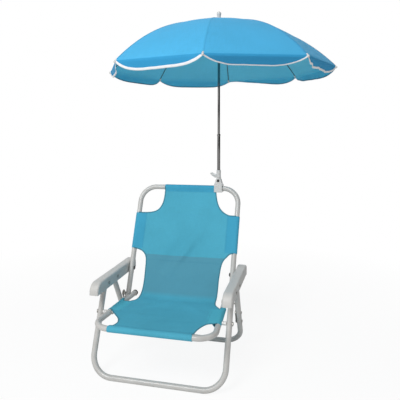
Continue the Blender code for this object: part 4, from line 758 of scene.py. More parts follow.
def smooth_line(points, steps=4):
    """Catmull-Rom samples through (place, half width, shift) points, in rising order of place."""
    line = []
    for index in range(len(points) - 1):
        before = Vector(points[max(index - 1, 0)])
        start = Vector(points[index])
        end = Vector(points[index + 1])
        after = Vector(points[min(index + 2, len(points) - 1)])
        for step in range(steps):
            t = step / steps
            rising = (end - before) * t + (before * 2 - start * 5 + end * 4 - after) * t * t
            line.append((start * 2 + rising + (start * 3 - before - end * 3 + after) * t**3) / 2)
    line.append(Vector(points[-1]))
    kept = [line[0]]
    for point in line[1:]:
        if point.x > kept[-1].x + 1e-4:
            kept.append(point)
    return kept


def interpolate(line, place):
    """Half width and shift at a place along a line of (place, half width, shift) points."""
    index = min(max(bisect_right([point.x for point in line], place), 1), len(line) - 1)
    low, high = line[index - 1], line[index]
    share = min(max((place - low.x) / (high.x - low.x), 0.0), 1.0)
    return low.lerp(high, share)


# Outlines as (place, half width, shift to the side): depths on the seat, then heights on the back
SEAT_WING = (0.0650, 0.1440)
BACK_WING = (0.1480, 0.2668)
FRONT_CUT = (
    (-0.0200, 0.1125, 0.0005), (-0.008, 0.1108, 0.0030), (0.003, 0.1108, 0.0045),
    (0.0115, 0.1122, 0.0050), (0.0265, 0.1177, 0.0045), (0.040, 0.1262, 0.0035),
    (0.048, 0.1345, 0.0025), (0.0545, 0.1440, 0.0010), (0.0602, 0.1520, 0.0),
)
WAIST_CUT = (
    (0.1443, 0.1490, 0.0015), (0.1452, 0.1445, 0.0040), (0.1475, 0.1400, 0.0070),
    (0.1510, 0.1365, 0.0085), (0.1546, 0.1339, 0.0088), (0.1648, 0.1262, 0.0085),
    (0.1774, 0.1222, 0.0070),
)
LOW_CUT = (
    (0.060, 0.1210, 0.0042), (0.092, 0.1228, 0.0047), (0.1040, 0.1240, 0.0050),
    (0.1165, 0.1263, 0.0057), (0.1280, 0.1316, 0.0065), (0.1350, 0.1378, 0.0070),
    (0.1400, 0.1430, 0.0060), (0.1440, 0.1500, 0.0035), (0.1465, 0.1575, 0.0010),
)
TOP_CUT = (
    (0.2670, 0.1580, 0.0), (0.2673, 0.1490, 0.0010), (0.2682, 0.1390, 0.0035),
    (0.2700, 0.1300, 0.0070), (0.2735, 0.1205, 0.0095), (0.2775, 0.1135, 0.0100),
    (0.2840, 0.1063, 0.0098), (0.2912, 0.1008, 0.0090), (0.3000, 0.0963, 0.0084),
    (0.3080, 0.0933, 0.0078), (0.3200, 0.0905, 0.0068), (0.3350, 0.0885, 0.0055),
    (0.3500, 0.0873, 0.0042),
)
CREASE_HALF = 0.1208
FRONT_SHIFT = -0.0030
TOP_SHIFT = 0.0035
# The seat's sleeves start further back on the right, and end in an ear along each tube
SLEEVE_TWIST = 0.0135
TWIST_REACH = 0.022
EAR_LENGTH = 0.0220
EAR_START = 0.1460
# How far a sleeve goes round its tube, and the run back to its hem in tube radii
SLEEVE_TURN = math.radians(232)
SLEEVE_RETURN = 1.2
DOUBLED_LOW = 0.238
DOUBLED_HIGH = 0.362
SLING_FLAT = (0.40, 0.69)
ROW_STEP = 0.0036
CENTRE_COLUMNS = 72
SLEEVE_COLUMNS = 16

# Soft folds as (x, place, x, place, half breadth, height), with places along the whole cloth
FOLDS = (
    (0.075, 0.470, -0.045, 0.300, 0.013, 0.0052), (0.056, 0.425, 0.000, 0.330, 0.011, -0.0026),
    (0.010, 0.430, -0.075, 0.300, 0.023, -0.0062), (0.095, 0.520, 0.035, 0.405, 0.013, -0.0013),
    (0.100, 0.360, 0.020, 0.290, 0.012, 0.0012), (-0.100, 0.330, -0.030, 0.275, 0.012, 0.0011),
    (-0.130, 0.400, -0.040, 0.380, 0.012, 0.0010), (0.135, 0.410, 0.050, 0.392, 0.012, 0.0010),
    (-0.125, 0.130, -0.020, 0.200, 0.014, 0.0014), (0.125, 0.130, 0.030, 0.205, 0.014, 0.0014),
    (-0.110, 0.085, 0.020, 0.110, 0.014, 0.0009), (0.110, 0.080, -0.010, 0.060, 0.014, 0.0009),
    (-0.070, 0.505, 0.070, 0.500, 0.009, -0.0008), (-0.118, 0.470, -0.060, 0.425, 0.011, 0.0009),
    (0.118, 0.470, 0.070, 0.430, 0.011, 0.0009),
)


class SlingForm:
    """Lays the sling's cloth on the chair, in rows from the front bar to the top bar."""

    def __init__(self, scene):
        self.sizes = sizes = scene.chair_sling
        self.tubes = tubes = scene.chair_tubes
        self.radius = tubes.radius + sizes.play + sizes.cloth
        self.front = Vector((0, SEAT_PIVOT.y - tubes.seat_reach, SEAT_LEVEL))
        flat_end = SEAT_HINGE.y - sizes.crease_lead
        self.seat_run = flat_end - self.front.y
        start = Vector((0, flat_end, SEAT_LEVEL + self.radius))
        end = SEAT_HINGE + BACK_UP * sizes.crease_rise + BACK_FRONT * self.radius
        handle = sizes.crease_rise * 0.55
        low, high = start + Y_AXIS * handle, end - BACK_UP * handle
        self.bend = []
        travelled = 0.0
        for step in range(33):
            t = step / 32
            rest = 1 - t
            point = start * rest**3 + low * 3 * rest**2 * t + high * 3 * rest * t**2 + end * t**3
            along = (low - start) * rest**2 + (high - low) * 2 * rest * t + (end - high) * t**2
            if self.bend:
                travelled += (point - self.bend[-1][1]).length
            along.normalize()
            self.bend.append((travelled, point, Vector((0, -along.z, along.y))))
        self.bend_run = travelled
        self.back_start = self.seat_run + travelled
        self.length = self.back_start + BACK_LENGTH - sizes.crease_rise
        self.outline = self.make_outline()

    def from_height(self, height):
        return self.back_start + height - self.sizes.crease_rise

    def from_depth(self, depth):
        return depth - self.front.y

    def make_outline(self):
        """Three smooth cuts; between them the edge runs straight along the tubes."""
        seat_low, seat_high = (self.from_depth(depth) for depth in SEAT_WING)
        back_low, back_high = (self.from_height(height) for height in BACK_WING)
        self.wings = ((seat_low, seat_high), (back_low, back_high))

        def cut(points, where):
            return [(where(place), half, shift) for place, half, shift in points]

        crease = [(self.seat_run + self.bend_run * share, CREASE_HALF, 0.0058 - 0.0018 * share)
                  for share in (0.15, 0.45, 0.75)]
        front = [(0.0, self.sizes.front_half - 0.002, FRONT_SHIFT), *cut(FRONT_CUT, self.from_depth),
                 (seat_low, tube_half(SEAT_WING[0]), 0.0)]
        waist = [(seat_high, tube_half(SEAT_WING[1]), 0.0), *cut(WAIST_CUT, self.from_depth), *crease,
                 *cut(LOW_CUT, self.from_height), (back_low, self.tubes.back_half, 0.0)]
        top = [(back_high, self.tubes.back_half, 0.0), *cut(TOP_CUT, self.from_height),
               (self.length, self.sizes.top_half, TOP_SHIFT)]
        return [point for line in (front, waist, top) for point in smooth_line(line)]

    def places(self):
        """Rows along the cloth: every outline point, and even steps between."""
        places = sorted(point.x for point in self.outline)
        full = [places[0]]
        for start, end in zip(places, places[1:]):
            count = max(int(math.ceil((end - start) / ROW_STEP)), 1)
            full += [start + (end - start) * step / count for step in range(1, count + 1)]
        return full

    def on_wing(self, place):
        return any(low - 1e-6 <= place <= high + 1e-6 for low, high in self.wings)

    def half(self, place):
        if self.on_wing(place):
            depth = place + self.front.y
            return tube_half(depth) if place < self.seat_run else self.tubes.back_half
        return interpolate(self.outline, place).y

    def shift(self, place):
        """How far the cloth's middle lies to the left side at a place."""
        return 0.0 if self.on_wing(place) else interpolate(self.outline, place).z

    def along(self, x, place):
        """A place moved along the seat, where the sleeves start askew and end in ears."""
        low, high = self.wings[0]
        twist = math.cos(math.pi / 2 * min(abs(place - low) / TWIST_REACH, 1.0)) ** 2
        moved = place - SLEEVE_TWIST * x / self.reach(low) * twist
        if low < place < self.seat_run:
            out = min(max((abs(x) - EAR_START) / (self.reach(high) - EAR_START), 0.0), 1.0)
            moved += EAR_LENGTH * out * out * min((place - low) / (high - low), 1.0) ** 2
        return moved

    def line(self, place):
        """Point and normal on the cloth's level line between the tubes."""
        if place <= self.seat_run:
            return self.front + Y_AXIS * place + Z_AXIS * self.radius, Z_AXIS.copy()
        if place >= self.back_start:
            height = place - self.back_start + self.sizes.crease_rise
            return SEAT_HINGE + BACK_UP * height + BACK_FRONT * self.radius, BACK_FRONT.copy()
        travelled = place - self.seat_run
        runs = [item[0] for item in self.bend]
        index = min(max(bisect_right(runs, travelled), 1), len(runs) - 1)
        low, high = self.bend[index - 1], self.bend[index]
        share = (travelled - low[0]) / (high[0] - low[0])
        return low[1].lerp(high[1], share), low[2].lerp(high[2], share).normalized()

    def sag(self, place):
        """How far the cloth's middle hangs: it drops off each bar's sleeve, then goes on sinking."""
        if place <= self.seat_run:
            away, reach, full = place, self.seat_run, self.sizes.seat_sag
        elif place >= self.back_start:
            away, reach, full = self.length - place, self.length - self.back_start, self.sizes.back_sag
        else:
            share = (place - self.seat_run) / self.bend_run
            return 0.65 * (self.sizes.seat_sag * (1 - share) + self.sizes.back_sag * share)
        step = min(max(away / 0.014, 0.0), 1.0)
        drop = 0.62 * step * step * (3 - 2 * step)
        drop += 0.38 * math.sin(math.pi / 2 * min(max(away / reach, 0.0) / 0.5, 1.0))
        ease = min(max((away / reach - 0.75) / 0.25, 0.0), 1.0)
        return full * drop * (1 - 0.35 * ease * ease * (3 - 2 * ease))

    def reach(self, place):
        """Half the distance between the side tubes beside a place."""
        if place <= self.seat_run:
            return tube_half(place + self.front.y)
        share = min((place - self.seat_run) / self.bend_run, 1.0)
        start = tube_half(self.seat_run + self.front.y)
        return start + (self.tubes.back_half - start) * share

    def folds(self, x, place):
        """Height of the soft folds at a point of the cloth."""
        rise = 0.0
        for x_start, start, x_end, end, breadth, height in FOLDS:
            run = Vector((x_end - x_start, end - start))
            offset = Vector((x - x_start, place - start))
            share = offset.dot(run) / run.length_squared
            if -0.25 < share < 1.25:
                away = abs(run.x * offset.y - run.y * offset.x) / run.length
                fade = math.sin(math.pi * min(max((share + 0.25) / 1.5, 0.0), 1.0)) ** 1.5
                rise += height * fade * math.exp(-((away / breadth) ** 2))
        return rise

    def point(self, x, place):
        """Point and normal of the cloth's upper face."""
        half = self.half(place)
        share = min(abs(x) / half, 1.0)
        x += self.shift(place)
        origin, normal = self.line(self.along(x, place))
        edge = 1 - share**4
        level = min(abs(x) / self.reach(place), 1.0)
        dip = self.sag(place) * (1 - level * level) - self.folds(x, place) * edge
        return origin + X_AXIS * x - normal * dip, normal

    def sleeve(self, place, side, travel):
        """Point of the cloth around a side tube, at a travel from the top of the tube."""
        x = side * self.half(place)
        origin, normal = self.line(self.along(x, place))
        angle = min(travel / self.radius, SLEEVE_TURN)
        around = normal * math.cos(angle) + X_AXIS * (side * math.sin(angle))
        point = at_x(origin - normal * self.radius, x) + around * self.radius
        share = min((travel / self.radius - SLEEVE_TURN) / SLEEVE_RETURN, 1.0)
        if share <= 0:
            return point
        tucked = self.radius * 1.9
        inset = tucked + (self.sizes.hem - tucked) * max(share * 2 - 1, 0.0)
        seam, _ = self.point(side * (self.half(place) - inset), place)
        return point.lerp(seam - normal * (self.sizes.cloth * 1.25), min(share * 2, 1.0))

    def bar_wrap(self, top):
        """Rows around a bar as (point, travel, half width), ending sewn behind the sheet."""
        if top:
            centre, first, second, turn = TOP_BAR, BACK_FRONT, BACK_UP, math.radians(205)
            place, half = self.length - 0.017, self.sizes.top_half
        else:
            centre, first, second, turn = self.front, Z_AXIS, -Y_AXIS, math.radians(225)
            place, half = 0.019, self.sizes.front_half
        rows = []
        for step in range(1, 17):
            angle = turn * step / 16
            around = (first * math.cos(angle) + second * math.sin(angle)) * self.radius
            rows.append((centre + around, angle * self.radius, half))
        origin, normal = self.line(place)
        seam = origin - normal * (self.sizes.cloth * 1.25 + self.sag(place))
        last, travel, _ = rows[-1]
        run = (seam - last).length
        for step in range(1, 6):
            width = half + (self.half(place) - 0.0015 - half) * min(step / 3, 1.0)
            rows.append((last.lerp(seam, step / 5), travel + run * step / 5, width))
        return rows


STITCH_PITCH = 0.0032
STITCH_RADII = (0.00028, 0.00030, 0.00115)


def stitches_between(low, high):
    """Middles of the stitches that fit in a row."""
    count = int((high - low) / STITCH_PITCH)
    return [low + (number + 0.5) * (high - low) / count for number in range(count)]


class CHAIR_OT_sling(Builder):
    """Lay the fabric sling over its tubes, with sleeves, cut-outs, bound edges and stitching"""

    bl_idname = "chair.sling"
    bl_label = "Sling"

    def build(self, scene):
        form = SlingForm(scene)
        sling = self.cloth(form)
        edges = self.bindings(form)
        thread = self.stitching(form)
        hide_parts("sling_seat", "sling_back")
        crease_start = Vector((0, SEAT_HINGE.y - 0.045, SEAT_LEVEL + 0.004))
        crease_end = SEAT_HINGE + BACK_UP * 0.055 + BACK_FRONT * 0.004
        for obj in (sling, edges, thread):
            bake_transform(obj, "seat", "back", start=crease_start, end=crease_end)

    def cloth(self, form):
        """The sheet with its sleeves, wrapped around the front and top bars."""
        front, top = form.bar_wrap(False)[::-1], form.bar_wrap(True)
        rows = [(wrap, -travel, half, FRONT_SHIFT) for wrap, travel, half in front]
        rows += [(None, place, form.half(place), 0.0) for place in form.places()]
        rows += [(wrap, form.length + travel, half, TOP_SHIFT) for wrap, travel, half in top]
        bm, grid = lattice(len(rows) - 1, CENTRE_COLUMNS + 2 * SLEEVE_COLUMNS)
        layers = bm.verts.layers.float["layers"]
        travel_end = form.radius * (SLEEVE_TURN + SLEEVE_RETURN)
        flat = {}
        dead = []
        for verts, (wrap, place, half, shift) in zip(grid, rows):
            for column, vert in enumerate(verts, -SLEEVE_COLUMNS):
                if 0 <= column <= CENTRE_COLUMNS:
                    x = half * (2 * column / CENTRE_COLUMNS - 1)
                    vert.co = wrap + X_AXIS * (x + shift) if wrap else form.point(x, place)[0]
                    sewn = place > form.length - 0.015
                    sleeved = form.on_wing(place) and abs(x) > half - form.sizes.hem
                    vert[layers] = 1.0 if sewn or sleeved else 0.0
                    flat[vert] = (x, place)
                    continue
                side = -1 if column < 0 else 1
                over = -column if column < 0 else column - CENTRE_COLUMNS
                travel = travel_end * over / SLEEVE_COLUMNS
                flat[vert] = (side * (half + travel), place)
                vert[layers] = 1.0
                if wrap is None and form.on_wing(place):
                    vert.co = form.sleeve(place, side, travel)
                else:
                    dead.append(vert)
        bmesh.ops.delete(bm, geom=dead, context="VERTS")
        seat_middle = form.line(0.12)[0]
        judge = min(bm.faces, key=lambda face: (face.calc_center_median() - seat_middle).length)
        unrolled(bm, flat, [judge])
        self.area = min(sum(face.calc_area() for face in bm.faces), SLING_FLAT[0] * SLING_FLAT[1])
        obj = piece("sling", bm, finish("sling_cloth"), sharp=60)
        thickened(obj, form.sizes.cloth, 60)
        return obj

    def bindings(self, form):
        """A turned edge along each cut-out, between two sleeves, dyed darker as painted shade."""
        (seat_low, seat_high), (back_low, back_high) = form.wings
        places = form.places()
        shells = []
        for low, high in ((0.0, seat_low), (seat_high, back_low), (back_high, form.length)):
            run = [place for place in places if low - 1e-6 <= place <= high + 1e-6]
            for side in (-1, 1):
                edge = [form.point(side * (form.half(place) - 0.0012), place) for place in run]
                points = [point - normal * form.sizes.cloth / 2 for point, normal in edge]
                shells.append(strip_along(points, [normal for _, normal in edge], 0.0021, 0.00105))
        return piece("sling_binding", joined(*shells), finish("sling_binding"))

    def stitching(self, form):
        """Rows of single stitches beside each sleeve and along the doubled cloth's edges."""
        hem = form.sizes.hem
        spots = []
        for low, high in form.wings:
            for side in (-1, 1):
                for inset in (hem - 0.001, hem - 0.0035):
                    for place in stitches_between(low + 0.002, high - 0.002):
                        spots.append((side * (form.half(place) - inset), place, 0.0, 0.001))
        top, front = form.sizes.top_half - 0.003, form.sizes.front_half - 0.006
        across = (
            (form.length - 0.0160, top), (form.length - 0.0135, top),
            (0.0180, front), (0.0155, front),
            (form.from_height(0.1150), 0.1180), (form.from_height(0.1120), 0.1180),
        )
        for place, half in across:
            half = min(half, form.half(place) - 0.003)
            spots += [(x, place, 0.001, 0.0) for x in stitches_between(-half, half)]
        bm = bmesh.new()
        for x, place, step_x, step_place in spots:
            point, normal = form.point(x, place)
            along = (form.point(x + step_x, place + step_place)[0] - point).normalized()
            across_axis = normal.cross(along).normalized()
            columns = zip((across_axis, normal, along), STITCH_RADII)
            axes = Matrix([axis * radius for axis, radius in columns]).transposed().to_4x4()
            made = bmesh.ops.create_uvsphere(bm, u_segments=6, v_segments=4, radius=1)["verts"]
            place_at = Matrix.Translation(point + normal * 0.00008)
            bmesh.ops.transform(bm, matrix=place_at @ axes, verts=made)
        return piece("sling_stitching", bm, finish("sling_thread"))


# The umbrella's cover

RIB_POWER = 2.4
COVER_RUN = 0.40
GORE_COLUMNS = 36
GORE_ROWS = 60
KNEE_START = 48 / GORE_ROWS
KNEE_END = 52 / GORE_ROWS
# How much lower a rib's tip hangs than the frame's
RIB_DIPS = (0.0, 0.0, 0.0, 0.0, 0.0, 0.0045, 0.0100, 0.0050)
# Each panel's hem, from the right one round by the back: fall, lean, wave, tuck, share of binding
PANEL_HEMS = (
    (0.0265, -0.20, 0.0016, 0.30, 1.0),
    (0.0165, -0.95, 0.0007, 0.30, 1.0),
    (0.0275, 0.06, 0.0004, 0.30, 1.0),
    (0.0270, 0.00, 0.0005, 0.30, 1.0),
    (0.0255, 0.00, 0.0007, 0.30, 1.0),
    (0.0280, -0.12, 0.0005, 0.25, 1.1),
    (0.0245, 0.05, 0.0006, 0.95, 0.6),
    (0.0245, 0.05, 0.0018, 0.35, 0.9),
)


def rib_axes(number):
    """Outward and sideways at a rib."""
    angle = RIB_PHASE + 2 * HALF_GORE * number
    return Vector((math.cos(angle), math.sin(angle), 0)), Vector((-math.sin(angle), math.cos(angle), 0))


def rib_line(sizes, reach, dip=0.0):
    """Height of a rib's centre over the crown's pivots, at a reach outside its own pivot."""
    return -(sizes.rib_fall + dip) * (reach / (sizes.rib_tip - CROWN_REACH)) ** RIB_POWER


def rib_point(sizes, number, reach):
    """Point on a rib's centre line, at a reach outside its pivot."""
    height = rib_line(sizes, reach, RIB_DIPS[number])
    return CROWN + rib_axes(number)[0] * (CROWN_REACH + reach) + Z_AXIS * height


def cover_height(sizes, radius, dip):
    """Height of the cover's outer face over the crown's pivots, over a rib at a radius."""
    reach = max(radius - CROWN_REACH, 0.0)
    full = sizes.rib_tip - CROWN_REACH
    slope = RIB_POWER * (sizes.rib_fall + dip) / full * (reach / full) ** (RIB_POWER - 1)
    lift = (sizes.rib_radius + 0.0003 + sizes.cloth) * math.hypot(1, slope)
    share = min(reach / 0.11, 1.0)
    return rib_line(sizes, reach, dip) + lift + sizes.crown_rise * (1 - share * share * (3 - 2 * share))


def cover_point(sizes, number, bearing, share):
    """Point of the cover at a bearing from a rib, and a share from the crown (0) to the hem (1)."""
    panel = (bearing / (2 * HALF_GORE)) % 1.0
    first = (number if bearing >= 0 else number - 1) % RIB_COUNT
    drop, skew, wave, tuck, _ = PANEL_HEMS[first]
    dip = RIB_DIPS[first] + (RIB_DIPS[(first + 1) % RIB_COUNT] - RIB_DIPS[first]) * panel
    lean = 2 * panel - 1
    chord = math.cos(HALF_GORE) / math.cos(abs(lean) * HALF_GORE)
    fullness = 1 - abs(lean) ** 5
    drop = sizes.tip_drop + (drop * (1 + skew * lean) - sizes.tip_drop) * fullness
    fold = min(0.0065, drop * 0.42)
    rim = sizes.rim
    inner = 0.0034
    edge = Vector((rim, cover_height(sizes, rim, dip)))
    start = Vector((rim - fold, cover_height(sizes, rim - fold, dip)))
    end = edge - Vector((fold * 0.12, fold))
    if share <= KNEE_START:
        radius = inner + (rim - fold - inner) * share / KNEE_START
        place = Vector((radius, cover_height(sizes, radius, dip)))
    elif share <= KNEE_END:
        t = (share - KNEE_START) / (KNEE_END - KNEE_START)
        place = start * (1 - t) ** 2 + edge * 2 * t * (1 - t) + end * t * t
    else:
        ripple = math.sin(11 * panel + 900 * drop) + 0.6 * math.sin(27 * panel + 4)
        ripple = (ripple + 0.4 * math.sin(51 * panel)) * wave * fullness
        hem = edge + Vector((ripple - tuck * drop * fullness, 0.35 * ripple - drop))
        place = end.lerp(hem, (share - KNEE_END) / (1 - KNEE_END))
    bulge = math.sin(math.pi * panel) * math.sin(math.pi * min(share / KNEE_START, 1.0))
    angle = RIB_PHASE + 2 * HALF_GORE * number + bearing
    around = Vector((math.cos(angle), math.sin(angle), 0))
    return CROWN + around * (place.x * chord) + Z_AXIS * (place.y + 0.0016 * bulge**2)


class CHAIR_OT_cover(Builder):
    """Sew the umbrella's cover from eight gores, each folding with its rib"""

    bl_idname = "chair.cover"
    bl_label = "Umbrella cover"

    def build(self, scene):
        sizes = scene.chair_umbrella
        for number in range(RIB_COUNT):
            body = f"rib_{number + 1}"
            gore, area = self.gore(sizes, number)
            binding = self.binding(sizes, number)
            seam = self.seam(sizes, number)
            tip = self.tip_cap(sizes, number)
            for obj in (gore, binding, seam, tip):
                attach(obj, body)
            for obj in (gore, binding):
                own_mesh(obj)
            if number == 0:
                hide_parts("canopy")

    def gore(self, sizes, number):
        bm, grid = lattice(GORE_ROWS, GORE_COLUMNS)
        flat = {}
        for row, verts in enumerate(grid):
            share = row / GORE_ROWS
            for column, vert in enumerate(verts):
                bearing = HALF_GORE * (2 * column / GORE_COLUMNS - 1)
                vert.co = cover_point(sizes, number, bearing, share)
                flat[vert] = (bearing * 0.30 * share + 0.5 * number, COVER_RUN * share)
        unrolled(bm, flat)
        area = sum(face.calc_area() for face in bm.faces)
        obj = piece(f"cover_gore_{number + 1}", bm, finish("cover_cloth"), sharp=75)
        thickened(obj, sizes.cloth, 75, finish("cover_lining"))
        return obj, area

    def binding(self, sizes, number):
        """White tape sewn to the outside of the hem."""
        stations = []
        for column in range(GORE_COLUMNS + 1):
            bearing = HALF_GORE * (2 * column / GORE_COLUMNS - 1)
            hem, above, ahead, behind = (
                cover_point(sizes, number, bearing + turn, share)
                for turn, share in ((0, 1.0), (0, 0.985), (0.004, 1.0), (-0.004, 1.0))
            )
            up = (above - hem).normalized()
            along = (ahead - behind).normalized()
            normal = up.cross(along).normalized()
            if normal.xy.dot((hem - CROWN).xy) < 0:
                normal = -normal
            panel = (number if bearing >= 0 else number - 1) % RIB_COUNT
            half = sizes.piping * PANEL_HEMS[panel][4] / 2
            middle = hem + up * (half - 0.0008) + normal * 0.0003
            stations.append(station(middle, along, normal, half, 0.0008))
        return piece(f"hem_binding_{number + 1}", swept(stations, 12), finish("hem_binding"))

    def seam(self, sizes, number):
        """The felled seam that runs down over the rib."""
        across = rib_axes(number)[1]
        points = []
        normals = []
        for step in range(4, 41):
            point = cover_point(sizes, number, 0.0, step / 40)
            along = point - cover_point(sizes, number, 0.0, step / 40 - 0.02)
            points.append(point)
            normals.append(along.cross(across).normalized())
        bm = strip_along(points, normals, 0.0022, 0.0003, 8)
        return piece(f"rib_seam_{number + 1}", bm, finish("cover_cloth"))

    def tip_cap(self, sizes, number):
        """A small white cap that holds the cover to the rib's tip."""
        reach = sizes.rib_tip - CROWN_REACH
        start, end = (rib_point(sizes, number, place) for place in (reach - 0.0090, reach))
        run = (end - start).length + 0.0006
        profile = [(0, 0.0002), (0.0022, 0.0002), (0.0029, 0.0010), (0.0029, run - 0.0045),
                   (0.0033, run - 0.0036), (0.0033, run - 0.0020), (0.0024, run - 0.0006), (0.0010, run),
                   (0, run)]
        bm = spun(profile, start, end - start, 20)
        return piece(f"tip_cap_{number + 1}", bm, finish("white_plastic"), sharp=50)


# Sections of (radius, height)
RIB_EYE = ((0.0009, -0.0009), (0.0026, -0.0009), (0.0026, 0.0009), (0.0009, 0.0009))
LUG_PIN = ((0, -0.0028), (0.0009, -0.0028), (0.0009, 0.0028), (0, 0.0028))
FINIAL = (
    (0, -0.0080), (0.0026, -0.0080), (0.0028, 0.0002), (0.0085, 0.0004), (0.0087, 0.0012),
    (0.0080, 0.0021), (0.0064, 0.0032), (0.0056, 0.0052), (0.0053, 0.0082), (0.0054, 0.0112),
    (0.0060, 0.0144), (0.0067, 0.0174), (0.0069, 0.0200), (0.0064, 0.0226), (0.0050, 0.0246),
    (0.0028, 0.0257), (0, 0.0260),
)


class CHAIR_OT_ribs(Builder):
    """Bend the eight ribs, each with its eye at the crown and a bracket for its stretcher"""

    bl_idname = "chair.ribs"
    bl_label = "Ribs and stretchers"

    def build(self, scene):
        sizes = scene.chair_umbrella
        run = sizes.rib_tip - CROWN_REACH - 0.0042
        steel = finish("rib_steel")
        for number in range(RIB_COUNT):
            across = rib_axes(number)[1]
            points = [rib_point(sizes, number, 0.0022 + run * step / 40) for step in range(41)]
            wire = strip_along(points, [Z_AXIS] * len(points), sizes.rib_radius, sizes.rib_radius, 10)
            shells = [wire, spun(RIB_EYE, RIB_PIVOTS[number], across, 20, True)]
            lug = pivot(f"stretcher_{number + 1}_turn")
            top = rib_point(sizes, number, (lug - CROWN).xy.length - CROWN_REACH)
            for side in (-1, 1):
                shift = across * (0.0019 * side)
                ends = (top + shift + Z_AXIS * 0.0006, lug + shift - Z_AXIS * 0.0018)
                shells.append(swept([station(end, Z_AXIS, across, 0.0018, 0.0004) for end in ends], 12))
            ends = (top - across * 0.0021, top + across * 0.0021)
            shells.append(swept([station(end, across, Z_AXIS, 0.0018, 0.0016) for end in ends], 12))
            shells.append(spun(LUG_PIN, lug, across, 12))
            name = f"rib_{number + 1}"
            piece(name + "_wire", joined(*shells), steel, name, [name], 50)
            dress(f"stretcher_{number + 1}", steel)


class CHAIR_OT_pole(Builder):
    """Turn the two pole tubes and the finial"""

    bl_idname = "chair.pole"
    bl_label = "Pole"

    def build(self, scene):
        wall = 0.0007
        for name, radius, lip in (("pole_lower", 0.0050, 0.0006), ("pole_upper", 0.0040, 0.0)):
            low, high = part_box(name)
            place = Vector((CLAMP_BAR.x, CLAMP_BAR.y, low.z))
            length = high.z - low.z
            profile = [(radius - wall, 0), (radius - 0.0002, 0), (radius, 0.0003)]
            if lip:
                profile += [(radius, length - 0.0056), (radius + lip * 0.7, length - 0.0052),
                            (radius + lip, length - 0.0046), (radius + lip, length - 0.0008),
                            (radius + lip * 0.6, length)]
            else:
                profile += [(radius, length - 0.0003), (radius - 0.0002, length)]
            profile.append((radius - wall, length))
            bm = spun(profile, place, Z_AXIS, 40, True)
            piece(name + "_tube", bm, finish("chrome_plate"), "pole", [name], 40)
        top = CROWN.z + scene.chair_umbrella.crown_rise + 0.0012
        bm = spun(FINIAL, Vector((CLAMP_BAR.x, CLAMP_BAR.y, top)), Z_AXIS, 36)
        piece("finial_knob", bm, finish("white_plastic"), "pole", ["finial"], 50)


# Moulded nodes that keep their form: body, and width of the rounding on their edges
MOULDED = {
    "clamp_body": ("clamp", 0.0011),
    "tilt_head": ("tilt_head", 0.0006),
    "clamp_screw": ("clamp_screw", 0.0006),
    "crown": ("pole", 0.0004),
    "runner": ("runner", 0.0004),
}
BLADE_RADIUS = 0.0044
BLADE_THICKNESS = 0.0052


class CHAIR_OT_clamp(Builder):
    """Mould the umbrella's clamp, its knob, the tilting socket and the wing screw"""

    bl_idname = "chair.clamp"
    bl_label = "Umbrella clamp"

    def build(self, scene):
        white = finish("white_plastic")
        for node, (body, width) in MOULDED.items():
            bm = softened(node)
            piece(node + "_moulding", bm, white, body, [node], bevel=width)
        self.wing_screw(white)

    def wing_screw(self, white):
        """The socket's lock screw: a round hub with a blade across it."""
        node = "pole_lock_screw"
        low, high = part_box(node)
        start = Vector((high.x, LOCK_PLACE.y, LOCK_PLACE.z))
        run = high.x - low.x
        profile = [(0, 0), (0.0015, 0), (0.0019, 0.0006), (0.0019, run - 0.0200), (0.0040, run - 0.0196),
                   (0.0040, run - 0.0080), (0.0032, run - 0.0062), (0, run - 0.0058)]
        hub = spun(profile, start, -X_AXIS, 28)
        face = LOCK_PLACE.y - BLADE_THICKNESS / 2
        inner = Vector((low.x + 0.0172, face, LOCK_PLACE.z - BLADE_RADIUS))
        outer = Vector((low.x + 0.0048, face, LOCK_PLACE.z + BLADE_RADIUS))
        along = (outer - inner).normalized()
        across = Vector((-along.z, 0, along.x))
        outline = []
        for centre, way in ((outer, BLADE_RADIUS), (inner, -BLADE_RADIUS)):
            for step in range(11):
                angle = math.pi * step / 10
                outline.append(centre + (across * math.cos(angle) + along * math.sin(angle)) * way)
        blade = prism(outline, Y_AXIS * BLADE_THICKNESS)
        round_rims(blade, blade.edges, 0.0012, 3)
        piece("lock_wing_screw", joined(hub, blade), white, node, [node], 40)


class CHAIR_OT_fasteners(Builder):
    """Finish the bolts, rivets, spacers, caps and guide plates"""

    bl_idname = "chair.fasteners"
    bl_label = "Fasteners"

    def build(self, scene):
        zinc = finish("zinc_plate")
        dark = finish("dark_plastic")
        for side, _ in SIDES:
            for name in ("seat_leg_bolt", "hinge_bolt", "hinge_spacer", "guide_plate", "arm_leg_rivet",
                         "arm_front_rivet"):
                dress(f"{name}_{side}", zinc)
            for name in ("arm_back_bolt", "seat_cap", "back_cap"):
                dress(f"{name}_{side}", dark)
            dress("seat_leg_spacer_" + side, finish("white_plastic"))
            for number in (1, 2):
                dress(f"plate_rivet_{side}_{number}", zinc)
        dress("tilt_bolt", dark)
        dress("snap_button", finish("chrome_plate"))


FLOOR_RADIUS = 9
FLOOR_GLOW = 0.90
FLAG_RADIUS = 2.6
FLAG_HEIGHT = 2.2
# Lamps: place, width and the name of their power
LAMPS = {
    "key_lamp": ((-0.80, -1.85, 2.48), 1.2, "key"),
    "fill_lamp": ((1.2, -2.4, 0.9), 1.6, "fill"),
}
LAMP_TARGET = Vector((0.05, 0.18, 0.45))
CAMERA_PLACE = (0.379, -1.033, 0.6821)
CAMERA_YAW = 0.2393
CAMERA_PITCH = -0.1571
CAMERA_ROLL = -0.0049


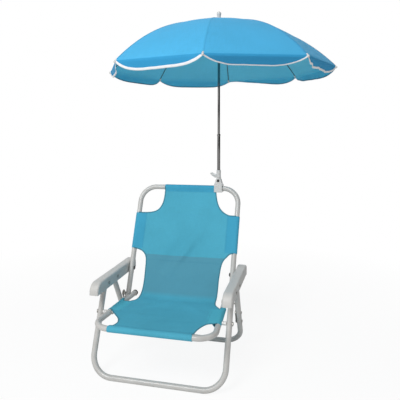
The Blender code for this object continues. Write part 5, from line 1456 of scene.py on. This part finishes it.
class CHAIR_OT_stage(Builder):
    """Lay the pale floor and set the lamps and the camera"""

    bl_idname = "chair.stage"
    bl_label = "Stage"

    def build(self, scene):
        sizes = scene.chair_studio
        self.floor(sizes)
        self.flag()
        self.world(scene, sizes)
        self.lamps(scene, sizes)
        self.camera(scene, sizes)
        scene.view_settings.view_transform = "Standard"

    def floor(self, sizes):
        """A round floor that fades to plain white away from the chair."""
        bm = bmesh.new()
        bmesh.ops.create_circle(bm, cap_ends=True, radius=FLOOR_RADIUS, segments=64)
        material = bpy.data.materials.new("studio_floor")
        material.use_nodes = True
        material.node_tree.nodes.clear()
        node = partial(add_node, material.node_tree)
        seen = node("BsdfDiffuse", {"Color": WHITE})
        unseen = node("BsdfDiffuse", {"Color": (*sizes.floor, 1)})
        glow = node("Emission", {"Strength": 1.0})
        coords = node("TexCoord", output="Object")
        length = node("VectorMath", {0: coords}, "Value", operation="LENGTH")
        fade = node("MapRange", {"Value": length, "From Min": 0.7, "From Max": 1.6})
        far = node("MixShader", {0: fade, 1: seen, 2: glow})
        pale = node("MixShader", {0: FLOOR_GLOW, 1: far, 2: glow})
        camera = node("LightPath", output="Is Camera Ray")
        whole = node("MixShader", {0: camera, 1: unseen, 2: pale})
        node("OutputMaterial", {"Surface": whole})
        placed("floor", bm, material)

    def flag(self):
        """A dark curved flag that only reflections see, so that the chromed pole reads as metal."""
        bm = bmesh.new()
        low = []
        for step in range(25):
            angle = math.radians(278 + 140 * step / 24)
            around = Vector((math.cos(angle), math.sin(angle))) * FLAG_RADIUS + CLAMP_BAR.xy
            low.append(bm.verts.new((*around, 0.1)))
        edges = [bm.edges.new(pair) for pair in zip(low, low[1:])]
        made = bmesh.ops.extrude_edge_only(bm, edges=edges)["geom"]
        high = [item for item in made if isinstance(item, bmesh.types.BMVert)]
        bmesh.ops.translate(bm, verts=high, vec=(0, 0, FLAG_HEIGHT))
        made = Finish("dark_flag")
        made.set({"Base Color": (0.03, 0.028, 0.026, 1), "Roughness": 0.9})
        obj = placed("dark_flag", bm, made.material)
        for ray in ("camera", "diffuse", "shadow", "transmission"):
            setattr(obj, "visible_" + ray, False)

    def world(self, scene, sizes):
        """White to the eye and to reflections, and softer as a light."""
        scene.world = world = bpy.data.worlds.new("studio_world")
        world.use_nodes = True
        world.node_tree.nodes.clear()
        node = partial(add_node, world.node_tree)
        light = node("Background", {"Color": WHITE, "Strength": sizes.world})
        seen = node("Background", {"Color": WHITE, "Strength": 1.0})
        bright = 0.0
        for ray in ("Is Camera Ray", "Is Glossy Ray", "Is Transmission Ray"):
            path = node("LightPath", output=ray)
            bright = node("Math", {0: path, 1: bright}, operation="MAXIMUM")
        node("OutputWorld", {"Surface": node("MixShader", {0: bright, 1: light, 2: seen})})

    def lamps(self, scene, sizes):
        for name, (place, width, power) in LAMPS.items():
            data = bpy.data.lights.new(name, "AREA")
            data.shape = "DISK"
            data.size = width
            data.energy = getattr(sizes, power)
            lamp = bpy.data.objects.new(name, data)
            scene.collection.objects.link(lamp)
            lamp.matrix_world = place_on(place, Vector(place) - LAMP_TARGET)

    def camera(self, scene, sizes):
        level = Vector((-math.sin(CAMERA_YAW), math.cos(CAMERA_YAW), 0))
        ahead = level * math.cos(CAMERA_PITCH) + Z_AXIS * math.sin(CAMERA_PITCH)
        right = Vector((math.cos(CAMERA_YAW), math.sin(CAMERA_YAW), 0))
        up = right.cross(ahead)
        turned_right = right * math.cos(CAMERA_ROLL) + up * math.sin(CAMERA_ROLL)
        turned_up = up * math.cos(CAMERA_ROLL) - right * math.sin(CAMERA_ROLL)
        data = bpy.data.cameras.new("camera")
        data.lens = sizes.lens
        data.sensor_width = 36
        camera = bpy.data.objects.new("camera", data)
        scene.collection.objects.link(camera)
        axes = Matrix((turned_right, turned_up, -ahead)).transposed().to_4x4()
        camera.matrix_world = Matrix.Translation(CAMERA_PLACE) @ axes
        scene.camera = camera


OPERATORS = (
    CHAIR_OT_stage, CHAIR_OT_tubes, CHAIR_OT_armrests, CHAIR_OT_sling, CHAIR_OT_clamp, CHAIR_OT_pole,
    CHAIR_OT_fasteners, CHAIR_OT_ribs, CHAIR_OT_cover,
)
SETTINGS = (
    ("chair_tubes", ChairTubeSettings),
    ("chair_sling", ChairSlingSettings),
    ("chair_fittings", ChairFittingSettings),
    ("chair_umbrella", ChairUmbrellaSettings),
    ("chair_studio", ChairStudioSettings),
)


class CHAIR_PT_panel(bpy.types.Panel):
    """Lists the chair's pieces in the sidebar."""

    bl_idname = "CHAIR_PT_panel"
    bl_label = "Umbrella Chair"
    bl_space_type = "VIEW_3D"
    bl_region_type = "UI"
    bl_category = "Umbrella Chair"

    def draw(self, context):
        for operator in OPERATORS:
            self.layout.operator(operator.bl_idname)
        for name, group in SETTINGS:
            box = self.layout.box()
            box.label(text=group.__doc__)
            settings = getattr(context.scene, name)
            for key in group.__annotations__:
                box.prop(settings, key)


def register():
    for name, group in SETTINGS:
        bpy.utils.register_class(group)
        setattr(bpy.types.Scene, name, PointerProperty(type=group))
    for cls in (*OPERATORS, CHAIR_PT_panel):
        bpy.utils.register_class(cls)


def unregister():
    for cls in (CHAIR_PT_panel, *reversed(OPERATORS)):
        bpy.utils.unregister_class(cls)
    for name, group in reversed(SETTINGS):
        delattr(bpy.types.Scene, name)
        bpy.utils.unregister_class(group)


def main():
    register()
    for operator in OPERATORS:
        group, name = operator.bl_idname.split(".")
        getattr(getattr(bpy.ops, group), name)()


if __name__ == "__main__":
    main()
